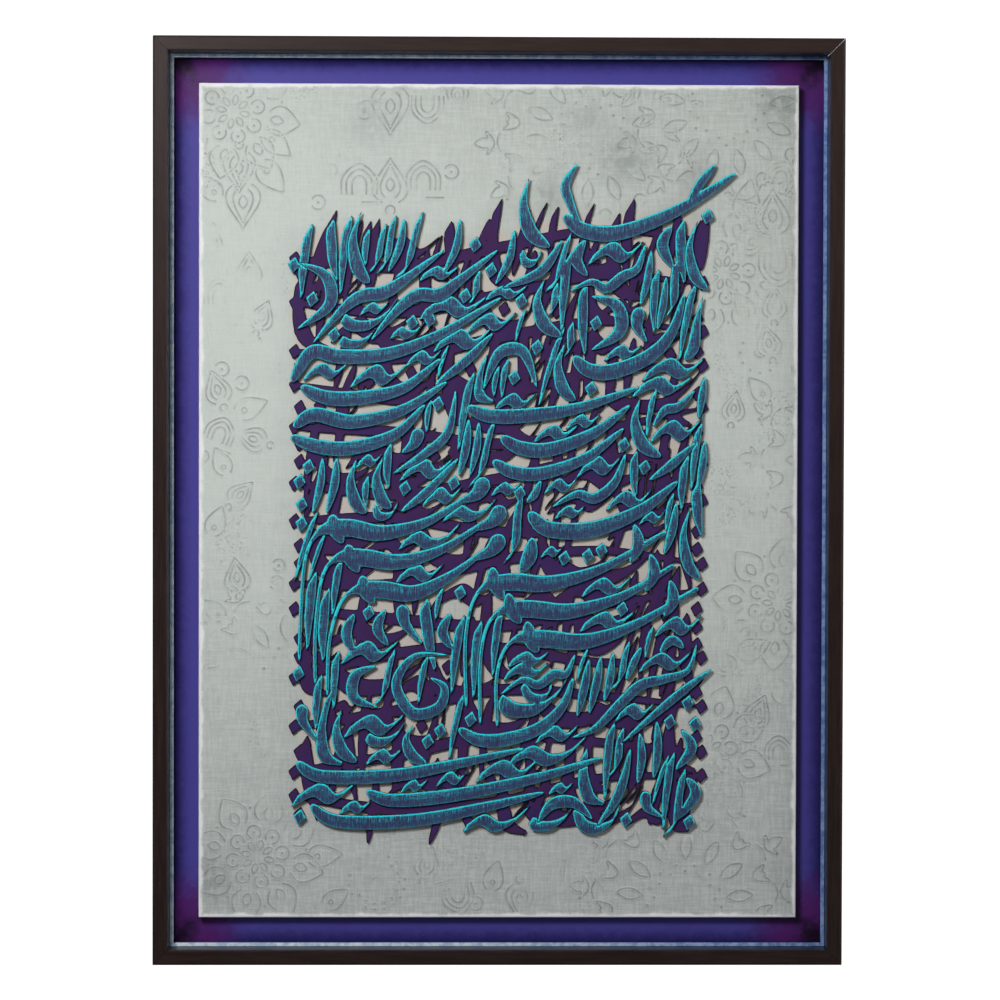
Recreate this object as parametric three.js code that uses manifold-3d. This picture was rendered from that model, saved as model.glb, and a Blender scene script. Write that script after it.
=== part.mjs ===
// Framed wall panel with rows of cut strokes in relief.
//
// Millimetres, +Z up. The origin is at the middle of the back, which lies on the wall at y = 0,
// and the front looks towards -Y. A mitred frame stands round a shallow tray. A plastered board
// is set in the tray, and two layers of thin cut strokes lie on the board, one over the other.
// The strokes are free ornament and spell nothing.

import * as THREE from 'three';
import Module from 'manifold-3d';
import { mergeVertices } from 'three/addons/utils/BufferGeometryUtils.js';

const wasm = await Module();
wasm.setup();

// Driving dimensions.
const FRAME_WIDTH = 574;
const FRAME_HEIGHT = 771;
const FRAME_DEPTH = 34;
const RAIL_FACE = 12.5;
const RAIL_ROUND = 2;

const TRAY_BOARD = 6;
const TRAY_RIM_WIDTH = 3;
const TRAY_DEPTH = 14;

const PANEL_WIDTH = 500;
const PANEL_HEIGHT = 696;
const PANEL_THICK = 12;

const SHEET_THICK = 3;
const GAP = 0.3;

// The strokes are laid out on a squared grid with its origin at the middle of the panel.
const GRID = 0.833;

// Width along a stroke, as a share of its widest place. t runs from its first point to its last.
const smooth = (t) => t * t * (3 - 2 * t);
const ramp = (from, to, t) => smooth(Math.min(1, Math.max(0, (t - from) / (to - from))));
const PROFILES = {
  leaf: (t) => Math.sin(Math.PI * t) ** 0.8,
  blade: (t) => Math.sin(Math.PI * t) ** 0.7,
  sweep: (t) => Math.sin(Math.PI * t ** 0.7) ** 0.5,
  flame: (t) => Math.sin(Math.PI * t ** 1.6) ** 0.8,
  moon: (t) => Math.sin(Math.PI * t) ** 0.9,
  wave: (t) => Math.sin(Math.PI * t ** 1.1) ** 0.7,
  drop: (t) => ramp(-0.12, 0.2, t) * Math.cos((Math.PI / 2) * t) ** 0.8,
  arch: (t) => (0.2 + 0.8 * ramp(0.34, 0.56, t)) * ramp(-0.03, 0.03, t) * (1 - ramp(0.6, 1.04, t) * 0.75),
};

// Samples along a stroke of each kind.
const STEPS = { leaf: 4, blade: 3, sweep: 8, flame: 5, moon: 7, wave: 7, drop: 4, arch: 12 };

// A tall flame: its tip at (x + lean, z), its belly low down and its foot flicked out by span.
function flameLine(x, z, height, span, lean) {
  return [
    [x + lean, z],
    [x, z - height * 0.4],
    [x + span * 0.3, z - height * 0.8],
    [x + span, z - height],
  ];
}

// Pieces of the upper layer. Each is one or more strokes that run into each other:
// [profile, width, points along the middle], on the grid.
const UPPER_PIECES = {
  top_sweep: [
    ['sweep', 16, [[66, 285], [86, 271], [122, 270], [178, 292], [236, 329]]],
    ['leaf', 9, [[186, 292], [200, 318], [216, 338]]],
    ['leaf', 10, [[78, 338], [66, 318], [70, 300], [84, 268]]],
  ],
  top_flame: [['flame', 15, flameLine(24, 325, 70, 26, 6)]],
  sweep_a: [['sweep', 15, [[-206, 121], [-187, 149], [-158, 145], [-110, 148], [-58, 168], [2, 204]]]],
  sweep_b: [['sweep', 15, [[-196, 114], [-172, 104], [-138, 104], [-95, 114], [-58, 143]]]],
  sweep_c: [['sweep', 15, [[-203, 76], [-184, 87], [-146, 80], [-96, 92], [-52, 120]]]],
  sweep_d: [['sweep', 15, [[-206, 64], [-180, 55], [-146, 54], [-103, 68], [-74, 97]]]],
  sweep_e: [['sweep', 15, [[-30, 94], [-8, 86], [32, 87], [82, 95], [140, 115]]]],
  sweep_f: [['sweep', 15, [[4, 64], [22, 54], [52, 53], [96, 70], [131, 97]]]],
  sweep_g: [['sweep', 14, [[-4, 40], [14, 30], [44, 29], [88, 45], [125, 74]]]],
  sweep_h: [['sweep', 16, [[76, 144], [90, 132], [114, 131], [150, 146], [173, 171], [185, 208]]]],
  sweep_i: [['sweep', 17, [[32, -12], [50, -27], [94, -27], [142, -8], [179, 21]]]],
  arch_a: [
    ['arch', 18, [[-199, -158], [-197, -100], [-192, -52], [-177, -29], [-150, -26], [-116, -31], [-72, -20],
      [-30, 6]]],
    ['leaf', 15, [[-166, -14], [-164, -26], [-156, -41]]],
    ['drop', 17, [[-15, 20], [-22, 8], [-40, 0]]],
  ],
  arch_b: [
    ['arch', 18, [[-183, -181], [-183, -130], [-176, -75], [-160, -56], [-134, -56], [-100, -60], [-58, -48],
      [-15, -21]]],
    ['leaf', 15, [[-150, -44], [-148, -56], [-140, -70]]],
    ['drop', 17, [[2, -8], [-6, -19], [-24, -28]]],
  ],
  arch_c: [
    ['arch', 18, [[-171, -193], [-169, -140], [-158, -102], [-142, -88], [-116, -88], [-84, -91], [-48, -74],
      [-16, -50]]],
    ['leaf', 15, [[-136, -75], [-133, -88], [-125, -101]]],
    ['drop', 17, [[1, -37], [-7, -48], [-25, -58]]],
  ],
  arch_d: [
    ['arch', 18, [[-32, -204], [-33, -140], [-26, -101], [-11, -83], [16, -80], [52, -81], [104, -66],
      [165, -31]]],
    ['leaf', 15, [[-6, -66], [-4, -81], [5, -96]]],
    ['leaf', 12, [[136, -22], [140, -42], [132, -60]]],
  ],
  arch_e: [
    ['arch', 18, [[-18, -221], [-18, -160], [-11, -124], [5, -108], [32, -107], [72, -109], [124, -94],
      [174, -64]]],
    ['leaf', 15, [[10, -92], [13, -107], [22, -121]]],
    ['leaf', 12, [[152, -52], [156, -70], [147, -89]]],
  ],
  arch_f: [
    ['arch', 18, [[-1, -224], [-2, -180], [5, -150], [21, -136], [48, -137], [88, -139], [138, -122],
      [198, -87]]],
    ['leaf', 15, [[29, -120], [32, -136], [39, -150]]],
    ['leaf', 12, [[172, -78], [175, -97], [166, -114]]],
  ],
  low_band_a: [['sweep', 14, [[-200, -262], [-176, -275], [-106, -274], [-40, -262], [26, -247]]]],
  low_band_b: [['sweep', 14, [[-130, -291], [-104, -299], [-40, -293], [40, -276], [104, -256]]]],
  low_band_c: [['sweep', 14, [[-186, -305], [-160, -320], [-84, -319], [-10, -305], [46, -291]]]],
  low_sweep: [['sweep', 14, [[-38, -228], [-20, -238], [6, -238], [40, -227], [64, -205], [75, -176]]]],
  low_moon: [['moon', 13, [[40, -321], [54, -303], [76, -301], [95, -318]]]],
  low_blade: [['leaf', 10, [[100, -324], [116, -302], [126, -278], [133, -246]]]],
  low_diagonal: [['leaf', 9, [[124, -241], [161, -209], [190, -185], [214, -167]]]],
  low_wave: [['wave', 11, [[199, -141], [190, -168], [166, -177], [143, -183], [122, -202], [98, -226],
    [74, -236]]]],
  volute: [['wave', 12, [[-50, -153], [-84, -155], [-102, -182], [-86, -211], [-60, -206], [-54, -186],
    [-68, -176]]]],
  corner_moon: [['moon', 13, [[-198, 238], [-172, 224], [-170, 196], [-202, 172]]]],
  wave_a: [['wave', 14, [[-186, 158], [-158, 190], [-138, 205], [-115, 209], [-94, 222], [-54, 252]]]],
  wave_b: [['wave', 14, [[-128, 161], [-106, 187], [-83, 206], [-60, 207], [-40, 221], [-1, 252]]]],
  wave_c: [['wave', 11, [[70, 211], [92, 220], [107, 214], [124, 226], [138, 234], [146, 258]]]],
  wave_d: [['wave', 11, [[53, -5], [78, 8], [96, 4], [116, 20], [127, 49]]]],
  wave_e: [['wave', 10, [[2, -193], [24, -178], [40, -183], [56, -172], [68, -172], [77, -152]]]],
  wave_f: [['leaf', 10, [[154, 76], [166, 92], [180, 96], [196, 112]]]],
  wave_g: [['leaf', 10, [[150, 22], [168, 34], [180, 44], [197, 60]]]],
  flame_a: [['flame', 14, flameLine(-146, 291, 72, 16, 9)]],
  flame_b: [['flame', 14, flameLine(38, 224, 58, 24, 8)]],
  flame_c: [['flame', 13, flameLine(59, 161, 59, 17, 8)]],
  flame_d: [['flame', 14, flameLine(136, 106, 60, 26, 6)]],
  flame_e: [['flame', 12, flameLine(190, 283, 70, 18, 9)]],
  flame_f: [['flame', 12, flameLine(198, 207, 64, -12, 6)]],
  flame_g: [['flame', 12, flameLine(185, -4, 72, 16, 7)]],
  flame_h: [['flame', 13, flameLine(-148, 45, 56, 15, 7)]],
  flame_i: [['flame', 13, flameLine(-122, 46, 52, 14, 7)]],
  flame_j: [['flame', 13, flameLine(-162, -206, 54, 20, 6)]],
  flame_k: [['flame', 12, flameLine(-92, -222, 40, 20, 8)]],
  moon_a: [['moon', 13, [[-16, 112], [0, 148], [24, 150], [38, 114]]]],
  moon_b: [['moon', 14, [[92, 206], [118, 196], [120, 170], [92, 152]]]],
  moon_c: [['moon', 12, [[-122, -164], [-143, -174], [-144, -196], [-120, -206]]]],
  slant_a: [['leaf', 10, [[63, 262], [42, 231], [4, 214]]]],
  slant_b: [['leaf', 10, [[-6, 169], [-34, 140], [-64, 117]]]],
  slant_c: [['leaf', 10, [[-43, 112], [-51, 70], [-74, 48], [-106, 28]]]],
  slant_d: [['leaf', 9, [[-40, 44], [-72, 10], [-98, -10]]]],
};

// Small strokes of the upper layer, which stand on the lower one as part of it.
const SMALL_STROKES = [
  ['leaf', 8, [[-95, 283], [-99, 256], [-111, 229]]],
  ['leaf', 8, [[-39, 283], [-43, 254], [-56, 227]]],
  ['leaf', 8, [[15, 272], [10, 243], [-4, 217]]],
  ['leaf', 12, [[86, 262], [77, 243], [88, 226]]],
  ['leaf', 12, [[172, 276], [163, 257], [174, 234]]],
  ['leaf', 8, [[152, 252], [148, 222], [141, 197]]],
  ['drop', 14, [[140, 192], [138, 176], [148, 160]]],
  ['leaf', 8, [[167, 226], [164, 198], [158, 172]]],
  ['leaf', 8, [[206, 126], [203, 105], [200, 84]]],
  ['leaf', 8, [[206, 62], [204, 38], [199, 14]]],
  ['leaf', 8, [[-176, 44], [-178, 18], [-186, -12]]],
  ['leaf', 9, [[-162, 44], [-164, 18], [-172, -12]]],
  ['drop', 14, [[-80, 70], [-85, 58], [-97, 49]]],
  ['leaf', 9, [[-30, 83], [-33, 54], [-40, 26]]],
  ['leaf', 8, [[-20, 80], [-22, 54], [-29, 26]]],
  ['leaf', 8, [[42, 22], [36, 8], [28, 0]]],
  ['leaf', 15, [[34, -36], [31, -54], [22, -70]]],
  ['leaf', 9, [[178, 0], [174, -27], [166, -52]]],
  ['leaf', 11, [[-144, -112], [-152, -132], [-143, -154]]],
  ['leaf', 11, [[-113, -108], [-121, -126], [-110, -144]]],
  ['drop', 14, [[-96, -106], [-93, -122], [-76, -142]]],
  ['leaf', 11, [[-48, -112], [-56, -130], [-46, -147]]],
  ['drop', 13, [[-196, -206], [-195, -220], [-180, -240]]],
  ['leaf', 9, [[91, -157], [86, -186], [79, -215]]],
  ['leaf', 9, [[103, -154], [98, -183], [91, -212]]],
  ['leaf', 8, [[115, -150], [112, -176], [106, -200]]],
  ['leaf', 8, [[143, -145], [136, -160], [128, -178]]],
  ['leaf', 9, [[142, -231], [144, -256], [140, -282]]],
  ['leaf', 9, [[159, -219], [160, -248], [156, -277]]],
  ['leaf', 11, [[184, -228], [194, -246], [178, -268]]],
  ['leaf', 11, [[189, -276], [198, -292], [180, -318]]],
  ['leaf', 10, [[162, -150], [174, -138], [186, -146]]],
  ['drop', 12, [[148, -292], [150, -306], [166, -316]]],
];

// Lozenges of the upper layer, one over the other in the columns and scattered between the sweeps.
const LOZENGE = { width: 13, height: 17, tilt: 0.2 };
const UPPER_LOZENGES = [
  [-205, 236], [-24, 257], [-34, 206], [-87, 179], [-69, 182], [208, 286], [22, 201], [-61, 98],
  [-199, 20], [-197, -3], [-197, -22], [-45, 19], [21, 9], [146, 35], [66, -56], [103, -48], [124, -107],
  [-130, -111], [-58, -229], [-200, -172], [190, -201], [172, -220],
];

// The lower layer, on the same grid.
const LOWER = {
  left: -204,
  right: 204,
  top: 266,
  bottom: -326,
  rows: 13,
  bandWidth: 12,
  blades: 4,
  bladeWidth: 9,
};

// Blades of the lower layer that carry pieces of the upper one.
const LOWER_CARRIERS = [
  ['blade', 11, [[36, 252], [31, 226], [22, 196]]],
  ['blade', 11, [[-2, 176], [-6, 144], [-16, 112]]],
  ['blade', 11, [[68, -272], [62, -298], [52, -326]]],
  ['blade', 11, [[98, -276], [92, -300], [84, -326]]],
  ['blade', 11, [[166, -270], [158, -298], [152, -324]]],
  ['blade', 11, [[198, -270], [191, -298], [186, -324]]],
  ['blade', 11, [[52, 34], [40, 10], [36, -20]]],
  ['blade', 11, [[208, 290], [204, 262], [202, 232]]],
];

// A repeatable scatter between 0 and 1.
function scatter(seed) {
  const value = Math.sin(seed * 12.9898 + 4.1414) * 43758.5453;
  return value - Math.floor(value);
}

// Rows of long bands right across, with slanting blades that cross from row to row.
function lowerStrokes() {
  const width = LOWER.right - LOWER.left;
  const pitch = (LOWER.top - LOWER.bottom) / LOWER.rows;
  const strokes = [...LOWER_CARRIERS];
  const lozenges = [];
  for (let row = 0; row < LOWER.rows; row++) {
    const middle = LOWER.top - pitch * (row + 0.5);
    const bandHeight = (share) => (
      middle + pitch * (0.45 * share - 0.3 * Math.sin(Math.PI * 2 * (share + scatter(row))))
    );
    const shares = [0, 0.25, 0.5, 0.75, 1];
    strokes.push(['sweep', LOWER.bandWidth, shares.map((share) => [
      LOWER.left + width * share,
      bandHeight(share),
    ])]);
    for (let i = 0; i < LOWER.blades; i++) {
      const seed = row * 31 + i;
      const share = (i + 0.2 + 0.6 * scatter(seed)) / LOWER.blades;
      const x = LOWER.left + width * share;
      const z = bandHeight(share);
      const lean = 4 + 9 * scatter(seed + 400);
      const reach = pitch * (0.62 + 0.2 * scatter(seed + 800));
      strokes.push(['blade', LOWER.bladeWidth, [[x + lean, z + reach], [x, z], [x - lean, z - reach]]]);
    }
    lozenges.push([LOWER.left, bandHeight(0)], [LOWER.right, bandHeight(1)]);
  }
  return { strokes, lozenges };
}

function toSolid(geometry) {
  const bare = geometry.clone();
  bare.deleteAttribute('normal');
  bare.deleteAttribute('uv');
  const merged = mergeVertices(bare, 1e-4);
  const mesh = new wasm.Mesh({
    numProp: 3,
    vertProperties: new Float32Array(merged.attributes.position.array),
    triVerts: new Uint32Array(merged.index.array),
  });
  return new wasm.Manifold(mesh);
}

function toGeometry(solid) {
  const mesh = solid.getMesh();
  const geometry = new THREE.BufferGeometry();
  geometry.setAttribute('position', new THREE.BufferAttribute(new Float32Array(mesh.vertProperties), 3));
  geometry.setIndex(new THREE.BufferAttribute(new Uint32Array(mesh.triVerts), 1));
  geometry.computeVertexNormals();
  return geometry;
}

// A flat shape drawn in x and z, standing out from y = -back to y = -front.
function slab(shape, back, front) {
  const geometry = new THREE.ExtrudeGeometry(shape, { depth: front - back, bevelEnabled: false });
  geometry.rotateX(Math.PI / 2);
  geometry.translate(0, -back, 0);
  return geometry;
}

function box(width, height, back, front) {
  const geometry = new THREE.BoxGeometry(width, front - back, height);
  geometry.translate(0, -(back + front) / 2, 0);
  return geometry;
}

function strokeShape([profile, width, points]) {
  const path = new THREE.SplineCurve(points.map(([x, z]) => new THREE.Vector2(x * GRID, z * GRID)));
  const steps = STEPS[profile];
  const upperSide = [];
  const lowerSide = [];
  for (let i = 1; i < steps; i++) {
    const t = i / steps;
    const middle = path.getPoint(t);
    const along = path.getTangent(t);
    const half = (width * GRID * PROFILES[profile](t)) / 2;
    upperSide.push(new THREE.Vector2(middle.x - along.y * half, middle.y + along.x * half));
    lowerSide.unshift(new THREE.Vector2(middle.x + along.y * half, middle.y - along.x * half));
  }
  return new THREE.Shape([path.getPoint(0), ...upperSide, path.getPoint(1), ...lowerSide]);
}

function lozengeShape([x, z]) {
  const { width, height, tilt } = LOZENGE;
  const corners = [[0, height / 2], [width / 2, 0], [0, -height / 2], [-width / 2, 0]];
  const middle = new THREE.Vector2(x * GRID, z * GRID);
  return new THREE.Shape(corners.map(([dx, dz]) => new THREE.Vector2(dx * GRID, dz * GRID)
    .rotateAround(new THREE.Vector2(), -tilt)
    .add(middle)));
}

function joinShapes(shapes, back, front) {
  return shapes
    .map((shape) => toSolid(slab(shape, back, front)))
    .reduce((whole, next) => whole.add(next));
}

const wallPanel = new THREE.Group();

function addPiece(name, geometry, material) {
  const mesh = new THREE.Mesh(geometry, material);
  mesh.name = name;
  wallPanel.add(mesh);
}

const paint = (name, color, roughness) => {
  const material = new THREE.MeshStandardMaterial({ color, roughness, metalness: 0 });
  material.name = name;
  return material;
};

const frameStain = () => paint('dark_stained_wood', 0x2b211e, 0.45);

// One rail, lying along its own length, with its outer edge at z = 0 and its ends cut at 45 degrees.
function rail(length) {
  const round = RAIL_ROUND;
  const profile = new THREE.Shape();
  profile.moveTo(0, 0);
  profile.lineTo(RAIL_FACE, 0);
  profile.lineTo(RAIL_FACE, FRAME_DEPTH - round / 2);
  profile.lineTo(RAIL_FACE - round / 2, FRAME_DEPTH);
  profile.lineTo(round, FRAME_DEPTH);
  profile.lineTo(round * 0.3, FRAME_DEPTH - round * 0.3);
  profile.lineTo(0, FRAME_DEPTH - round);
  profile.closePath();
  const geometry = new THREE.ExtrudeGeometry(profile, { depth: length, bevelEnabled: false });
  const position = geometry.attributes.position;
  for (let i = 0; i < position.count; i++) {
    const inward = position.getX(i);
    const depth = position.getY(i);
    const atFarEnd = position.getZ(i) > length / 2;
    const reach = length / 2 - inward - GAP / 2;
    const along = atFarEnd ? -reach : reach;
    position.setXYZ(i, along, -depth, -inward);
  }
  geometry.deleteAttribute('uv');
  geometry.computeVertexNormals();
  return geometry;
}

const rails = [
  ['frame_rail_top', FRAME_WIDTH, FRAME_HEIGHT, 0],
  ['frame_rail_right', FRAME_HEIGHT, FRAME_WIDTH, 90],
  ['frame_rail_bottom', FRAME_WIDTH, FRAME_HEIGHT, 180],
  ['frame_rail_left', FRAME_HEIGHT, FRAME_WIDTH, 270],
];
for (const [name, length, across, turn] of rails) {
  const geometry = rail(length);
  geometry.translate(0, 0, across / 2);
  geometry.rotateY(THREE.MathUtils.degToRad(turn));
  addPiece(name, geometry, frameStain());
}

const trayWidth = FRAME_WIDTH - 2 * (RAIL_FACE + GAP);
const trayHeight = FRAME_HEIGHT - 2 * (RAIL_FACE + GAP);
const trayPocket = toSolid(box(
  trayWidth - 2 * TRAY_RIM_WIDTH,
  trayHeight - 2 * TRAY_RIM_WIDTH,
  TRAY_BOARD,
  TRAY_DEPTH + 1,
));
const tray = toSolid(box(trayWidth, trayHeight, 0, TRAY_DEPTH)).subtract(trayPocket);
addPiece('tray', toGeometry(tray), paint('violet_lacquer', 0x362c6a, 0.3));

const panelBack = TRAY_BOARD + GAP;
const panelFront = panelBack + PANEL_THICK;
const board = box(PANEL_WIDTH, PANEL_HEIGHT, panelBack, panelFront);
addPiece('panel_board', board, paint('plaster', 0xb4bab4, 0.8));

const lowerBack = panelFront + GAP;
const lowerFront = lowerBack + SHEET_THICK;
const upperBack = lowerFront + GAP;
const upperFront = upperBack + SHEET_THICK;

const lower = lowerStrokes();
const lowerShapes = [...lower.strokes.map(strokeShape), ...lower.lozenges.map(lozengeShape)];
const smallShapes = [...SMALL_STROKES.map(strokeShape), ...UPPER_LOZENGES.map(lozengeShape)];
const fretwork = joinShapes(lowerShapes, lowerBack, lowerFront)
  .add(joinShapes(smallShapes, lowerBack, upperFront));
addPiece('lower_fretwork', toGeometry(fretwork), paint('purple_paint', 0x35204f, 0.6));

for (const [name, strokes] of Object.entries(UPPER_PIECES)) {
  const solid = joinShapes(strokes.map(strokeShape), upperBack, upperFront);
  addPiece(name, toGeometry(solid), paint('turquoise_paint', 0x2c5e80, 0.5));
}

export default wallPanel;
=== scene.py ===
# Looks of the framed wall panel: a dark frame, a violet tray, a plastered board with worn
# stencil relief, and two layers of painted strokes.
#
# Lengths are in millimetres until a mesh is made, in the same frame as the CAD: the back is at
# y = 0 and the front looks towards -Y. Strokes are laid out on the CAD's grid.

import math

import bpy
import numpy as np
from mathutils import Matrix, Vector
from mathutils.geometry import delaunay_2d_cdt


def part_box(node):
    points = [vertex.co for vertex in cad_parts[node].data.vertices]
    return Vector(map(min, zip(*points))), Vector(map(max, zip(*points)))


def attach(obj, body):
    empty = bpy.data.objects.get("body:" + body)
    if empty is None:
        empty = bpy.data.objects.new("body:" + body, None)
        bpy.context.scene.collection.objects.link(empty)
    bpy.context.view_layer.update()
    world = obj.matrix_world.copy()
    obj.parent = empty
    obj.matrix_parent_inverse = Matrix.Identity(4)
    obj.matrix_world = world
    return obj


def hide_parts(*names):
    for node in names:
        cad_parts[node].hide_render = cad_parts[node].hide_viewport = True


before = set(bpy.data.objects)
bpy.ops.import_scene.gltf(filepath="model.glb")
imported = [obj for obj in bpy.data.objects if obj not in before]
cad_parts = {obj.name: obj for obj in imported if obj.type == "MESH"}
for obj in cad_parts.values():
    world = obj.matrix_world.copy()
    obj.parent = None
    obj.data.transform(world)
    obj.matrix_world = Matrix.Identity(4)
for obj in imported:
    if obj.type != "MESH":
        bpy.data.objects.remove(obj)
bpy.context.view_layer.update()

MM = 0.001
GRID = 0.833

# Where the pieces are, from the frame.
BOARD_LOW, BOARD_HIGH = (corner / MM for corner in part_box("panel_board"))
LOWER_LOW, LOWER_HIGH = (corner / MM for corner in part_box("lower_fretwork"))
UPPER_LOW, UPPER_HIGH = (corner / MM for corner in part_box("sweep_a"))
TRAY_LOW, TRAY_HIGH = (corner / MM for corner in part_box("tray"))
BOARD_FRONT = BOARD_LOW.y
LOWER_BACK = LOWER_HIGH.y
UPPER_BACK = UPPER_HIGH.y
UPPER_FRONT = UPPER_LOW.y
LOWER_FRONT = UPPER_BACK + 0.3


# Width along a stroke, as a share of its widest place. t runs from its first point to its last.
def smooth(t):
    return t * t * (3 - 2 * t)


def ramp(start, end, t):
    return smooth(np.clip((t - start) / (end - start), 0, 1))


def swell(t, power):
    return np.clip(np.sin(math.pi * t), 0, 1) ** power


PROFILES = {
    "leaf": lambda t: swell(t, 0.8),
    "blade": lambda t: swell(t, 0.7),
    "sweep": lambda t: swell(t**0.7, 0.5),
    "flame": lambda t: swell(t**1.6, 0.8),
    "moon": lambda t: swell(t, 0.9),
    "wave": lambda t: swell(t**1.1, 0.7),
    "drop": lambda t: ramp(-0.12, 0.2, t) * np.clip(np.cos(math.pi / 2 * t), 0, 1) ** 0.8,
    "arch": lambda t: (
        (0.2 + 0.8 * ramp(0.34, 0.56, t)) * ramp(-0.03, 0.03, t) * (1 - ramp(0.6, 1.04, t) * 0.75)
    ),
}


# A tall flame: its tip at (x + lean, z), its belly low down and its foot flicked out by span.
def flame_line(x, z, height, span, lean):
    return [(x + lean, z), (x, z - height * 0.4), (x + span * 0.3, z - height * 0.8), (x + span, z - height)]


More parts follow.
